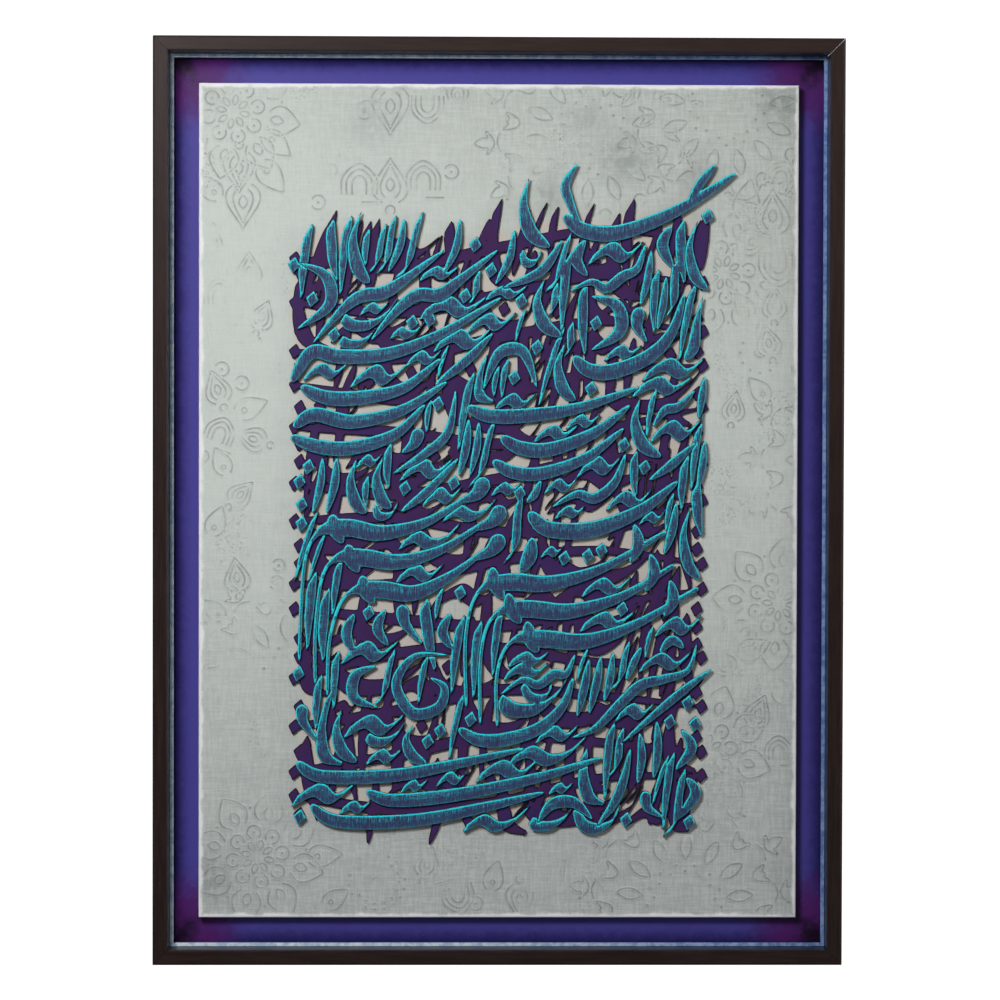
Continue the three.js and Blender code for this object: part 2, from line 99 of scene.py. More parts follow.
# Pieces of the upper layer, as in the CAD: [profile, width, points along the middle].
UPPER_PIECES = {
    "top_sweep": [
        ["sweep", 16, [(66, 285), (86, 271), (122, 270), (178, 292), (236, 329)]],
        ["leaf", 9, [(186, 292), (200, 318), (216, 338)]],
        ["leaf", 10, [(78, 338), (66, 318), (70, 300), (84, 268)]],
    ],
    "top_flame": [["flame", 15, flame_line(24, 325, 70, 26, 6)]],
    "sweep_a": [["sweep", 15, [(-206, 121), (-187, 149), (-158, 145), (-110, 148), (-58, 168), (2, 204)]]],
    "sweep_b": [["sweep", 15, [(-196, 114), (-172, 104), (-138, 104), (-95, 114), (-58, 143)]]],
    "sweep_c": [["sweep", 15, [(-203, 76), (-184, 87), (-146, 80), (-96, 92), (-52, 120)]]],
    "sweep_d": [["sweep", 15, [(-206, 64), (-180, 55), (-146, 54), (-103, 68), (-74, 97)]]],
    "sweep_e": [["sweep", 15, [(-30, 94), (-8, 86), (32, 87), (82, 95), (140, 115)]]],
    "sweep_f": [["sweep", 15, [(4, 64), (22, 54), (52, 53), (96, 70), (131, 97)]]],
    "sweep_g": [["sweep", 14, [(-4, 40), (14, 30), (44, 29), (88, 45), (125, 74)]]],
    "sweep_h": [["sweep", 16, [(76, 144), (90, 132), (114, 131), (150, 146), (173, 171), (185, 208)]]],
    "sweep_i": [["sweep", 17, [(32, -12), (50, -27), (94, -27), (142, -8), (179, 21)]]],
    "arch_a": [
        ["arch", 18, [(-199, -158), (-197, -100), (-192, -52), (-177, -29), (-150, -26), (-116, -31),
                      (-72, -20), (-30, 6)]],
        ["leaf", 15, [(-166, -14), (-164, -26), (-156, -41)]],
        ["drop", 17, [(-15, 20), (-22, 8), (-40, 0)]],
    ],
    "arch_b": [
        ["arch", 18, [(-183, -181), (-183, -130), (-176, -75), (-160, -56), (-134, -56), (-100, -60),
                      (-58, -48), (-15, -21)]],
        ["leaf", 15, [(-150, -44), (-148, -56), (-140, -70)]],
        ["drop", 17, [(2, -8), (-6, -19), (-24, -28)]],
    ],
    "arch_c": [
        ["arch", 18, [(-171, -193), (-169, -140), (-158, -102), (-142, -88), (-116, -88), (-84, -91),
                      (-48, -74), (-16, -50)]],
        ["leaf", 15, [(-136, -75), (-133, -88), (-125, -101)]],
        ["drop", 17, [(1, -37), (-7, -48), (-25, -58)]],
    ],
    "arch_d": [
        ["arch", 18, [(-32, -204), (-33, -140), (-26, -101), (-11, -83), (16, -80), (52, -81), (104, -66),
                      (165, -31)]],
        ["leaf", 15, [(-6, -66), (-4, -81), (5, -96)]],
        ["leaf", 12, [(136, -22), (140, -42), (132, -60)]],
    ],
    "arch_e": [
        ["arch", 18, [(-18, -221), (-18, -160), (-11, -124), (5, -108), (32, -107), (72, -109), (124, -94),
                      (174, -64)]],
        ["leaf", 15, [(10, -92), (13, -107), (22, -121)]],
        ["leaf", 12, [(152, -52), (156, -70), (147, -89)]],
    ],
    "arch_f": [
        ["arch", 18, [(-1, -224), (-2, -180), (5, -150), (21, -136), (48, -137), (88, -139), (138, -122),
                      (198, -87)]],
        ["leaf", 15, [(29, -120), (32, -136), (39, -150)]],
        ["leaf", 12, [(172, -78), (175, -97), (166, -114)]],
    ],
    "low_band_a": [["sweep", 14, [(-200, -262), (-176, -275), (-106, -274), (-40, -262), (26, -247)]]],
    "low_band_b": [["sweep", 14, [(-130, -291), (-104, -299), (-40, -293), (40, -276), (104, -256)]]],
    "low_band_c": [["sweep", 14, [(-186, -305), (-160, -320), (-84, -319), (-10, -305), (46, -291)]]],
    "low_sweep": [["sweep", 14, [(-38, -228), (-20, -238), (6, -238), (40, -227), (64, -205), (75, -176)]]],
    "low_moon": [["moon", 13, [(40, -321), (54, -303), (76, -301), (95, -318)]]],
    "low_blade": [["leaf", 10, [(100, -324), (116, -302), (126, -278), (133, -246)]]],
    "low_diagonal": [["leaf", 9, [(124, -241), (161, -209), (190, -185), (214, -167)]]],
    "low_wave": [["wave", 11, [(199, -141), (190, -168), (166, -177), (143, -183), (122, -202), (98, -226),
                               (74, -236)]]],
    "volute": [["wave", 12, [(-50, -153), (-84, -155), (-102, -182), (-86, -211), (-60, -206), (-54, -186),
                             (-68, -176)]]],
    "corner_moon": [["moon", 13, [(-198, 238), (-172, 224), (-170, 196), (-202, 172)]]],
    "wave_a": [["wave", 14, [(-186, 158), (-158, 190), (-138, 205), (-115, 209), (-94, 222), (-54, 252)]]],
    "wave_b": [["wave", 14, [(-128, 161), (-106, 187), (-83, 206), (-60, 207), (-40, 221), (-1, 252)]]],
    "wave_c": [["wave", 11, [(70, 211), (92, 220), (107, 214), (124, 226), (138, 234), (146, 258)]]],
    "wave_d": [["wave", 11, [(53, -5), (78, 8), (96, 4), (116, 20), (127, 49)]]],
    "wave_e": [["wave", 10, [(2, -193), (24, -178), (40, -183), (56, -172), (68, -172), (77, -152)]]],
    "wave_f": [["leaf", 10, [(154, 76), (166, 92), (180, 96), (196, 112)]]],
    "wave_g": [["leaf", 10, [(150, 22), (168, 34), (180, 44), (197, 60)]]],
    "flame_a": [["flame", 14, flame_line(-146, 291, 72, 16, 9)]],
    "flame_b": [["flame", 14, flame_line(38, 224, 58, 24, 8)]],
    "flame_c": [["flame", 13, flame_line(59, 161, 59, 17, 8)]],
    "flame_d": [["flame", 14, flame_line(136, 106, 60, 26, 6)]],
    "flame_e": [["flame", 12, flame_line(190, 283, 70, 18, 9)]],
    "flame_f": [["flame", 12, flame_line(198, 207, 64, -12, 6)]],
    "flame_g": [["flame", 12, flame_line(185, -4, 72, 16, 7)]],
    "flame_h": [["flame", 13, flame_line(-148, 45, 56, 15, 7)]],
    "flame_i": [["flame", 13, flame_line(-122, 46, 52, 14, 7)]],
    "flame_j": [["flame", 13, flame_line(-162, -206, 54, 20, 6)]],
    "flame_k": [["flame", 12, flame_line(-92, -222, 40, 20, 8)]],
    "moon_a": [["moon", 13, [(-16, 112), (0, 148), (24, 150), (38, 114)]]],
    "moon_b": [["moon", 14, [(92, 206), (118, 196), (120, 170), (92, 152)]]],
    "moon_c": [["moon", 12, [(-122, -164), (-143, -174), (-144, -196), (-120, -206)]]],
    "slant_a": [["leaf", 10, [(63, 262), (42, 231), (4, 214)]]],
    "slant_b": [["leaf", 10, [(-6, 169), (-34, 140), (-64, 117)]]],
    "slant_c": [["leaf", 10, [(-43, 112), (-51, 70), (-74, 48), (-106, 28)]]],
    "slant_d": [["leaf", 9, [(-40, 44), (-72, 10), (-98, -10)]]],
}

# Small strokes of the upper layer, which stand on the lower one.
SMALL_STROKES = [
    ["leaf", 8, [(-95, 283), (-99, 256), (-111, 229)]],
    ["leaf", 8, [(-39, 283), (-43, 254), (-56, 227)]],
    ["leaf", 8, [(15, 272), (10, 243), (-4, 217)]],
    ["leaf", 12, [(86, 262), (77, 243), (88, 226)]],
    ["leaf", 12, [(172, 276), (163, 257), (174, 234)]],
    ["leaf", 8, [(152, 252), (148, 222), (141, 197)]],
    ["drop", 14, [(140, 192), (138, 176), (148, 160)]],
    ["leaf", 8, [(167, 226), (164, 198), (158, 172)]],
    ["leaf", 8, [(206, 126), (203, 105), (200, 84)]],
    ["leaf", 8, [(206, 62), (204, 38), (199, 14)]],
    ["leaf", 8, [(-176, 44), (-178, 18), (-186, -12)]],
    ["leaf", 9, [(-162, 44), (-164, 18), (-172, -12)]],
    ["drop", 14, [(-80, 70), (-85, 58), (-97, 49)]],
    ["leaf", 9, [(-30, 83), (-33, 54), (-40, 26)]],
    ["leaf", 8, [(-20, 80), (-22, 54), (-29, 26)]],
    ["leaf", 8, [(42, 22), (36, 8), (28, 0)]],
    ["leaf", 15, [(34, -36), (31, -54), (22, -70)]],
    ["leaf", 9, [(178, 0), (174, -27), (166, -52)]],
    ["leaf", 11, [(-144, -112), (-152, -132), (-143, -154)]],
    ["leaf", 11, [(-113, -108), (-121, -126), (-110, -144)]],
    ["drop", 14, [(-96, -106), (-93, -122), (-76, -142)]],
    ["leaf", 11, [(-48, -112), (-56, -130), (-46, -147)]],
    ["drop", 13, [(-196, -206), (-195, -220), (-180, -240)]],
    ["leaf", 9, [(91, -157), (86, -186), (79, -215)]],
    ["leaf", 9, [(103, -154), (98, -183), (91, -212)]],
    ["leaf", 8, [(115, -150), (112, -176), (106, -200)]],
    ["leaf", 8, [(143, -145), (136, -160), (128, -178)]],
    ["leaf", 9, [(142, -231), (144, -256), (140, -282)]],
    ["leaf", 9, [(159, -219), (160, -248), (156, -277)]],
    ["leaf", 11, [(184, -228), (194, -246), (178, -268)]],
    ["leaf", 11, [(189, -276), (198, -292), (180, -318)]],
    ["leaf", 10, [(162, -150), (174, -138), (186, -146)]],
    ["drop", 12, [(148, -292), (150, -306), (166, -316)]],
]

LOZENGE_WIDTH, LOZENGE_HEIGHT, LOZENGE_TILT = 13, 17, 0.2
UPPER_LOZENGES = [
    (-205, 236), (-24, 257), (-34, 206), (-87, 179), (-69, 182), (208, 286), (22, 201), (-61, 98),
    (-199, 20), (-197, -3), (-197, -22), (-45, 19), (21, 9), (146, 35), (66, -56), (103, -48), (124, -107),
    (-130, -111), (-58, -229), (-200, -172), (190, -201), (172, -220),
]

# The lower layer, on the same grid.
LOWER_LEFT, LOWER_RIGHT, LOWER_TOP, LOWER_BOTTOM = -204, 204, 266, -326
LOWER_ROWS = 13
LOWER_BLADES = 4
LOWER_CARRIERS = [
    ["blade", 11, [(36, 252), (31, 226), (22, 196)]],
    ["blade", 11, [(-2, 176), (-6, 144), (-16, 112)]],
    ["blade", 11, [(68, -272), (62, -298), (52, -326)]],
    ["blade", 11, [(98, -276), (92, -300), (84, -326)]],
    ["blade", 11, [(166, -270), (158, -298), (152, -324)]],
    ["blade", 11, [(198, -270), (191, -298), (186, -324)]],
    ["blade", 11, [(52, 34), (40, 10), (36, -20)]],
    ["blade", 11, [(208, 290), (204, 262), (202, 232)]],
]


# A repeatable scatter between 0 and 1, the same as the CAD's.
def scatter(seed):
    value = math.sin(seed * 12.9898 + 4.1414) * 43758.5453
    return value - math.floor(value)


def lower_strokes():
    """Rows of long bands right across, with slanting blades that cross from row to row."""
    width = LOWER_RIGHT - LOWER_LEFT
    pitch = (LOWER_TOP - LOWER_BOTTOM) / LOWER_ROWS
    strokes = list(LOWER_CARRIERS)
    lozenges = []
    for row in range(LOWER_ROWS):
        middle = LOWER_TOP - pitch * (row + 0.5)

        def band_height(share):
            return middle + pitch * (0.45 * share - 0.3 * math.sin(math.pi * 2 * (share + scatter(row))))

        band = [(LOWER_LEFT + width * share, band_height(share)) for share in (0, 0.25, 0.5, 0.75, 1)]
        strokes.append(["sweep", 12, band])
        for i in range(LOWER_BLADES):
            seed = row * 31 + i
            share = (i + 0.2 + 0.6 * scatter(seed)) / LOWER_BLADES
            x, z = LOWER_LEFT + width * share, band_height(share)
            lean = 4 + 9 * scatter(seed + 400)
            reach = pitch * (0.62 + 0.2 * scatter(seed + 800))
            strokes.append(["blade", 9, [(x + lean, z + reach), (x, z), (x - lean, z - reach)]])
        lozenges += [(LOWER_LEFT, band_height(0)), (LOWER_RIGHT, band_height(1))]
    return strokes, lozenges


def spline(points, share):
    """A Catmull-Rom curve through the points, with its ends doubled, at each share of its run."""
    points = np.asarray(points, float)
    place = np.asarray(share, float) * (len(points) - 1)
    first = np.minimum(place.astype(int), len(points) - 2)
    t = (place - first)[:, None]
    p0, p1 = points[np.maximum(first - 1, 0)], points[first]
    p2, p3 = points[first + 1], points[np.minimum(first + 2, len(points) - 1)]
    v0, v1 = (p2 - p0) / 2, (p3 - p1) / 2
    return (2 * p1 - 2 * p2 + v0 + v1) * t**3 + (3 * p2 - 3 * p1 - 2 * v0 - v1) * t**2 + v0 * t + p1


def stroke_line(stroke, spacing=1.6):
    """Points along a stroke's middle and its half width at each, in millimetres."""
    profile, width, points = stroke
    length = np.linalg.norm(np.diff(np.asarray(points, float), axis=0), axis=1).sum() * GRID
    share = np.linspace(0, 1, max(8, int(length / spacing)))
    return spline(points, share) * GRID, PROFILES[profile](share) * width * GRID / 2


# A reed pen's slanted nib: broad in a level stroke, narrower in an upright one, thin in a rising one.
NIB_DIRECTION = np.array([0.52, 0.854])
NIB_TIP = 0.5


def nib_line(stroke, spacing=1.6):
    """Points along a pen stroke and half of the nib's line at each. The stroke tapers to its end."""
    _, width, points = stroke
    length = np.linalg.norm(np.diff(np.asarray(points, float), axis=0), axis=1).sum() * GRID
    share = np.linspace(0, 1, max(8, int(length / spacing)))
    taper = (0.75 + 0.25 * ramp(0, 0.15, share)) * (1 - 0.8 * ramp(0.45, 1.0, share))
    return spline(points, share) * GRID, NIB_DIRECTION * (width * GRID / 2 * taper)[:, None]


class Field:
    """Depth inside the strokes' outline on a fine grid: above 0 within it, 0 on it, below 0 outside."""

    def __init__(self, low, high, cell, margin=2.0):
        self.low = np.asarray(low, float)
        self.cell = cell
        self.margin = margin
        columns, rows = np.ceil((np.asarray(high) - self.low) / cell).astype(int) + 1
        self.values = np.full((rows, columns), -margin)

    def window(self, low, high):
        c0, r0 = np.maximum(((low - self.low) / self.cell).astype(int), 0)
        c1, r1 = ((high - self.low) / self.cell).astype(int) + 2
        x = self.low[0] + np.arange(c0, min(c1, self.values.shape[1])) * self.cell
        z = self.low[1] + np.arange(r0, min(r1, self.values.shape[0])) * self.cell
        return (slice(r0, r0 + len(z)), slice(c0, c0 + len(x))), x[None, :], z[:, None]

    def add_line(self, points, radii):
        for a, b, ra, rb in zip(points[:-1], points[1:], radii[:-1], radii[1:]):
            reach = max(ra, rb) + self.margin
            place, x, z = self.window(np.minimum(a, b) - reach, np.maximum(a, b) + reach)
            step = b - a
            share = ((x - a[0]) * step[0] + (z - a[1]) * step[1]) / max(step @ step, 1e-9)
            share = np.clip(share, 0, 1)
            gap = np.hypot(x - a[0] - share * step[0], z - a[1] - share * step[1])
            self.values[place] = np.maximum(self.values[place], ra + (rb - ra) * share - gap)

    def add_nib(self, points, halves):
        """The area that the nib's line sweeps over, with its corners eased a little."""
        for a, b, m, n in zip(points[:-1], points[1:], halves[:-1], halves[1:]):
            corners = np.array([a - m, a + m, b + n, b - n])
            sides = np.roll(corners, -1, 0) - corners
            other = corners[2] - corners[0]
            turn = np.sign(sides[0] @ (other[1], -other[0]))
            lengths = np.hypot(*sides.T)
            if lengths.min() < 1e-4 or abs(sides[0] @ (other[1], -other[0])) < 0.02:
                continue
            reach = self.margin + NIB_TIP
            place, x, z = self.window(corners.min(0) - reach, corners.max(0) + reach)
            depth = np.full((z.size, x.size), np.inf)
            for corner, side, length in zip(corners, sides, lengths):
                inward = (side[0] * (z - corner[1]) - side[1] * (x - corner[0])) / length
                depth = np.minimum(depth, inward * turn)
            self.values[place] = np.maximum(self.values[place], depth + NIB_TIP)
        self.add_line(points, np.full(len(points), NIB_TIP))

    def add_stroke(self, stroke):
        if stroke[0] == "nib":
            self.add_nib(*nib_line(stroke))
        else:
            self.add_line(*stroke_line(stroke))

    def add_lozenge(self, centre, tilt=LOZENGE_TILT, size=1.0):
        centre = np.asarray(centre, float) * GRID
        wide, tall = LOZENGE_WIDTH * GRID * size / 2, LOZENGE_HEIGHT * GRID * size / 2
        reach = tall + self.margin
        place, x, z = self.window(centre - reach, centre + reach)
        dx, dz = x - centre[0], z - centre[1]
        across = np.abs(dx * math.cos(tilt) - dz * math.sin(tilt))
        along = np.abs(dx * math.sin(tilt) + dz * math.cos(tilt))
        depth = (1 - across / wide - along / tall) / math.hypot(1 / wide, 1 / tall)
        self.values[place] = np.maximum(self.values[place], depth)

    def at(self, points):
        """The field at any points, between the grid's."""
        place = (np.asarray(points, float) - self.low) / self.cell
        limit = np.array(self.values.shape[::-1]) - 1.001
        place = np.clip(place, 0, limit)
        c, r = place.astype(int).T
        u, v = (place - place.astype(int)).T
        f = self.values
        return ((f[r, c] * (1 - u) + f[r, c + 1] * u) * (1 - v)
                + (f[r + 1, c] * (1 - u) + f[r + 1, c + 1] * u) * v)


# From which side of a grid square to which side the outline runs, for each set of corners inside.
# Corners count 1, 2, 4, 8 from the low corner round, and sides 0 to 3 are low, right, high, left.
CROSSINGS = {
    1: [(0, 3)], 2: [(1, 0)], 3: [(1, 3)], 4: [(2, 1)], 5: [(0, 3), (2, 1)], 6: [(2, 0)], 7: [(2, 3)],
    8: [(3, 2)], 9: [(0, 2)], 10: [(1, 0), (3, 2)], 11: [(1, 2)], 12: [(3, 1)], 13: [(0, 1)], 14: [(3, 0)],
}


def outlines(field, level, spacing, smoothing=2):
    """Closed loops where the field crosses a level, the inside on their left, evenly spaced."""
    f = field.values - level
    f = np.where(np.abs(f) < 1e-6, 1e-6, f)
    rows, columns = f.shape
    inside = f > 0
    corner = inside[:-1, :-1] * 1 + inside[:-1, 1:] * 2 + inside[1:, 1:] * 4 + inside[1:, :-1] * 8
    count = rows * columns
    follow = {}
    for kind, runs in CROSSINGS.items():
        r, c = np.nonzero(corner == kind)
        here = r * columns + c
        side = [here, count + here + 1, here + columns, count + here]
        for start, end in runs:
            follow.update(zip(side[start].tolist(), side[end].tolist()))
    loops = []
    while follow:
        start, step = follow.popitem()
        chain = [start]
        while step != start:
            chain.append(step)
            step = follow.pop(step)
        chain = np.array(chain)
        r, c = np.divmod(chain % count, columns)
        upright = chain >= count
        r2, c2 = r + upright, c + ~upright
        share = f[r, c] / (f[r, c] - f[r2, c2])
        points = np.stack([c + share * ~upright, r + share * upright], 1) * field.cell + field.low
        for _ in range(smoothing):
            points = (np.roll(points, 1, 0) + 2 * points + np.roll(points, -1, 0)) / 4
        closed = np.vstack([points, points[:1]])
        run = np.concatenate([[0], np.cumsum(np.linalg.norm(np.diff(closed, axis=0), axis=1))])
        number = int(run[-1] / spacing)
        if number < 5:
            continue
        places = np.arange(number) * run[-1] / number
        loops.append(np.stack([np.interp(places, run, closed[:, k]) for k in (0, 1)], 1))
    return loops


def measure_depths(field, reach=5.0):
    """Gives the field the true distance to its own outline, up to reach on both sides of it."""
    loops = outlines(field, 0, 0.8)
    starts = np.concatenate(loops)
    ends = np.concatenate([np.roll(loop, -1, 0) for loop in loops])
    nearest = np.full(field.values.shape, reach)
    rows, columns = nearest.shape
    steps = int(reach / field.cell) + 2
    offsets = np.arange(-steps, steps + 1)
    for first in range(0, len(starts), 2000):
        a, b = starts[first:first + 2000, :, None, None], ends[first:first + 2000, :, None, None]
        middle = np.round(((a + b) / 2 - field.low[None, :, None, None]) / field.cell).astype(int)
        c = np.clip(middle[:, 0] + offsets[None, None, :], 0, columns - 1)
        r = np.clip(middle[:, 1] + offsets[None, :, None], 0, rows - 1)
        c, r = np.broadcast_arrays(c, r)
        x, z = field.low[0] + c * field.cell - a[:, 0], field.low[1] + r * field.cell - a[:, 1]
        step_x, step_z = b[:, 0] - a[:, 0], b[:, 1] - a[:, 1]
        share = np.clip((x * step_x + z * step_z) / np.maximum(step_x**2 + step_z**2, 1e-9), 0, 1)
        np.minimum.at(nearest, (r, c), np.hypot(x - share * step_x, z - share * step_z))
    field.values = np.where(field.values > 0, nearest, -nearest)


def triangulate(loops_by_level, field):
    """Triangles inside the level 0 loops that keep every loop as edges: points, depths, triangles."""
    points, depths, edges, borders = [], [], [], set()
    for level, loops in loops_by_level.items():
        for loop in loops:
            start = len(points)
            points += [Vector(p) for p in loop]
            depths += [level] * len(loop)
            ring = list(range(start, start + len(loop)))
            pairs = list(zip(ring, ring[1:] + ring[:1]))
            edges += pairs
            if level == 0:
                borders.update(pairs)
    found = delaunay_2d_cdt(points, edges, [], 0, 1e-5)
    places = np.array([tuple(p) for p in found[0]])
    values = field.at(places)
    source = [group[0] if group else -1 for group in found[3]]
    for i, origin in enumerate(source):
        if origin >= 0:
            values[i] = depths[origin]
    triangles = all_one_way(places, np.array(found[2]))
    keep = field.at(places[triangles].mean(1)) > 0
    names = np.array(source)[triangles].tolist()
    for i, (a, b, c) in enumerate(names):
        sides = ((a, b), (b, c), (c, a))
        if any(side in borders for side in sides):
            keep[i] = True
        elif any(side[::-1] in borders for side in sides):
            keep[i] = False
    return places, values, triangles[keep]


def all_one_way(places, triangles):
    """The triangles with their corners all in the same turn."""
    a, b, c = (places[triangles[:, k]] for k in range(3))
    turned = np.cross(b - a, c - a) < 0
    triangles[turned] = triangles[turned][:, ::-1]
    return triangles


def border_edges(triangles):
    """Directed edges that only one triangle has."""
    pairs = np.concatenate([triangles[:, [0, 1]], triangles[:, [1, 2]], triangles[:, [2, 0]]])
    key = pairs[:, 0].astype(np.int64) << 32 | pairs[:, 1]
    other = pairs[:, 1].astype(np.int64) << 32 | pairs[:, 0]
    return pairs[~np.isin(key, other)]


def fill_rim(places, rim):
    """Triangles over the area that the directed rim goes round, with the rim's points alone."""
    used, ends = np.unique(rim, return_inverse=True)
    corners = [Vector(place) for place in places[used]]
    found = delaunay_2d_cdt(corners, ends.reshape(-1, 2).tolist(), [], 0, 1e-6)
    source = used[[group[0] for group in found[3]]]
    triangles = all_one_way(places, source[np.array(found[2])])
    owners = {}
    for index, (a, b, c) in enumerate(triangles.tolist()):
        owners.update({(a, b): index, (b, c): index, (c, a): index})
    borders = set(map(tuple, rim.tolist()))
    inside = {owners[side] for side in borders}
    ahead = list(inside)
    while ahead:
        a, b, c = triangles[ahead.pop()].tolist()
        for side in ((a, b), (b, c), (c, a)):
            neighbour = owners.get(side[::-1])
            if side not in borders and neighbour is not None and neighbour not in inside:
                inside.add(neighbour)
                ahead.append(neighbour)
    return triangles[sorted(inside)]


def new_object(name, points, triangles, quads=(), sharp=0.6, **values):
    """A mesh object from points in millimetres, with a number for each point under each name."""
    mesh = bpy.data.meshes.new(name)
    triangles = np.asarray(triangles, np.int32).reshape(-1, 3)
    quads = np.asarray(quads, np.int32).reshape(-1, 4)
    corners = np.concatenate([triangles.ravel(), quads.ravel()])
    starts = np.concatenate([np.arange(len(triangles)) * 3, len(triangles) * 3 + np.arange(len(quads)) * 4])
    mesh.vertices.add(len(points))
    mesh.vertices.foreach_set("co", (np.asarray(points, np.float32) * MM).ravel())
    mesh.loops.add(len(corners))
    mesh.loops.foreach_set("vertex_index", corners)
    mesh.polygons.add(len(starts))
    mesh.polygons.foreach_set("loop_start", starts.astype(np.int32))
    mesh.update(calc_edges=True)
    mesh.validate()
    mesh.shade_smooth()
    mesh.set_sharp_from_angle(angle=sharp)
    for key, numbers in values.items():
        layer = mesh.attributes.new(key, "FLOAT", "POINT")
        layer.data.foreach_set("value", np.asarray(numbers, np.float32))
    piece = bpy.data.objects.new(name, mesh)
    bpy.context.scene.collection.objects.link(piece)
    return piece


RING_DEPTHS = (0.45, 1.3, 3.0)
BEVEL = 0.4


def plate(name, field, back, front, spacing, rings=RING_DEPTHS):
    """A flat cut piece with the field's outline and a small bevel, from y = back out to y = front."""
    loops = {0: outlines(field, 0, spacing)}
    for depth in rings:
        loops[depth] = outlines(field, depth, spacing)
    places, depth, triangles = triangulate(loops, field)
    drop = BEVEL * (1 - smooth(np.clip(depth / rings[0], 0, 1)))
    top = np.stack([places[:, 0], front + drop, places[:, 1]], 1)
    rim = border_edges(triangles)
    used = np.unique(rim)
    foot = top[used].copy()
    foot[:, 1] = back
    foot_index = np.full(len(top), -1)
    foot_index[used] = len(top) + np.arange(len(used))
    walls = np.stack([rim[:, 1], rim[:, 0], foot_index[rim[:, 0]], foot_index[rim[:, 1]]], 1)
    floor = foot_index[fill_rim(places, rim)][:, ::-1]
    edge = np.concatenate([depth, np.full(len(foot), -1.0)])
    lit = np.concatenate([edge_facing(places, field), np.zeros(len(foot))])
    points, triangles = np.concatenate([top, foot]), np.concatenate([triangles, floor])
    return new_object(name, points, triangles, walls, edge=edge, facing=lit)


def edge_facing(places, field):
    """How far the nearest edge looks up and to the left: from -1 to 1."""
    reach = field.cell * 1.5
    slope = np.stack([field.at(places + step) - field.at(places - step) for step in np.eye(2) * reach], 1)
    slope /= np.maximum(np.linalg.norm(slope, axis=1), 1e-6)[:, None]
    return -slope @ np.array([-0.35, 0.94])


def stroke_bounds(strokes, margin=3.0):
    """Low and high corner round the strokes, in millimetres."""
    lines = [stroke_line(stroke) for stroke in strokes]
    low = np.min([(p - r[:, None]).min(0) for p, r in lines], 0) - margin
    high = np.max([(p + r[:, None]).max(0) for p, r in lines], 0) + margin
    return low, high


def stroke_field(strokes, cell=0.4):
    field = Field(*stroke_bounds(strokes), cell)
    for stroke in strokes:
        field.add_stroke(stroke)
    return field


# The block that the strokes fill, in millimetres, with room round it.
BLOCK_LOW = np.array([-226.0, -350.0]) * GRID
BLOCK_HIGH = np.array([244.0, 350.0]) * GRID

# Free pen strokes about their own middle, each with the share of the nib that it is drawn with.
PEN_STROKES = [
    (1.0, [(6, 32), (1, 4), (-4, -30)]),
    (1.0, [(5, 33), (2, 6), (0, -16), (-10, -29)]),
    (1.0, [(0, 34), (-3, 2), (4, -20), (20, -27)]),
    (1.0, [(-2, 30), (-1, 2), (2, -28)]),
    (0.85, [(-34, 0), (-20, -9), (6, -8), (26, 5), (38, 20)]),
    (0.85, [(-38, -6), (-18, 4), (0, -5), (20, 2), (38, 18)]),
    (0.8, [(-26, 12), (-16, -8), (2, -13), (18, -4), (24, 12)]),
    (0.8, [(-22, -4), (-4, 6), (10, -2), (26, 10)]),
]


def small_stroke(random, x, z, size):
    """One of the free pen strokes about a place, a little changed."""
    share, points = PEN_STROKES[random.integers(len(PEN_STROKES))]
    lean, stretch = random.uniform(-0.12, 0.18), random.uniform(0.85, 1.15)
    width = share * random.uniform(15.5, 18.5) * (0.4 + 0.6 * size)
    return ["nib", width, [(x + (u * stretch + v * lean) * size, z + v * size) for u, v in points]]


def stroke_room(stroke, spacing=3.0):
    """Places all over a stroke, to see whether it has room: along its middle and both edges."""
    if stroke[0] == "nib":
        points, halves = nib_line(stroke, spacing)
        return np.concatenate([points + halves * side for side in (-1, -0.5, 0, 0.5, 1)])
    points, radii = stroke_line(stroke, spacing)
    turn = np.gradient(points, axis=0)[:, ::-1] * (-1, 1)
    turn *= (radii / np.maximum(np.hypot(*turn.T), 1e-6))[:, None]
    return np.concatenate([points - turn, points, points + turn])


# The block's straight sides, and how far the fill goes up and down.
BLOCK_SIDE = 206
FILL_BOTTOM = -322


def block_top(x):
    """The height that the fill reaches at x: a little higher at the right."""
    return 258 + 8 * math.sin(x / 31) + 0.05 * x


def fill(field, tries, sizes, clear, seed, over=None, fit=0.999):
    """Fits small strokes into the room that is left and draws them in the field, large sizes first.

    Where over is another layer's field, a stroke has to show past that layer for much of its run.
    fit is the share of a stroke that has to lie clear of the others.
    """
    random = np.random.default_rng(seed)
    added = []
    for size in sizes:
        for _ in range(tries):
            x = random.uniform(-BLOCK_SIDE, BLOCK_SIDE)
            z = random.uniform(FILL_BOTTOM, block_top(x))
            stroke = small_stroke(random, x, z, size)
            places = stroke_room(stroke)
            if np.abs(places[:, 0]).max() > BLOCK_SIDE * GRID:
                continue
            if places[:, 1].min() < (FILL_BOTTOM - 12) * GRID:
                continue
            if over is not None and (over.at(places) < -0.5).mean() < 0.45:
                continue
            if (field.at(places) < -clear).mean() > fit:
                field.add_stroke(stroke)
                added.append(stroke)
    return added


def fill_lozenges(field, tries, clear, seed, over=None):
    """Fits lozenges into the room that is left, in the same way."""
    random = np.random.default_rng(seed)
    added = []
    reach = LOZENGE_HEIGHT * GRID / 2 * 0.85 + clear
    for _ in range(tries):
        x = random.uniform(7 - BLOCK_SIDE, BLOCK_SIDE - 7)
        centre = (x, random.uniform(FILL_BOTTOM, block_top(x)))
        place = [np.array(centre) * GRID]
        if field.at(place)[0] < -reach and (over is None or over.at(place)[0] < -1):
            field.add_lozenge(centre)
            added.append(centre)
    return added


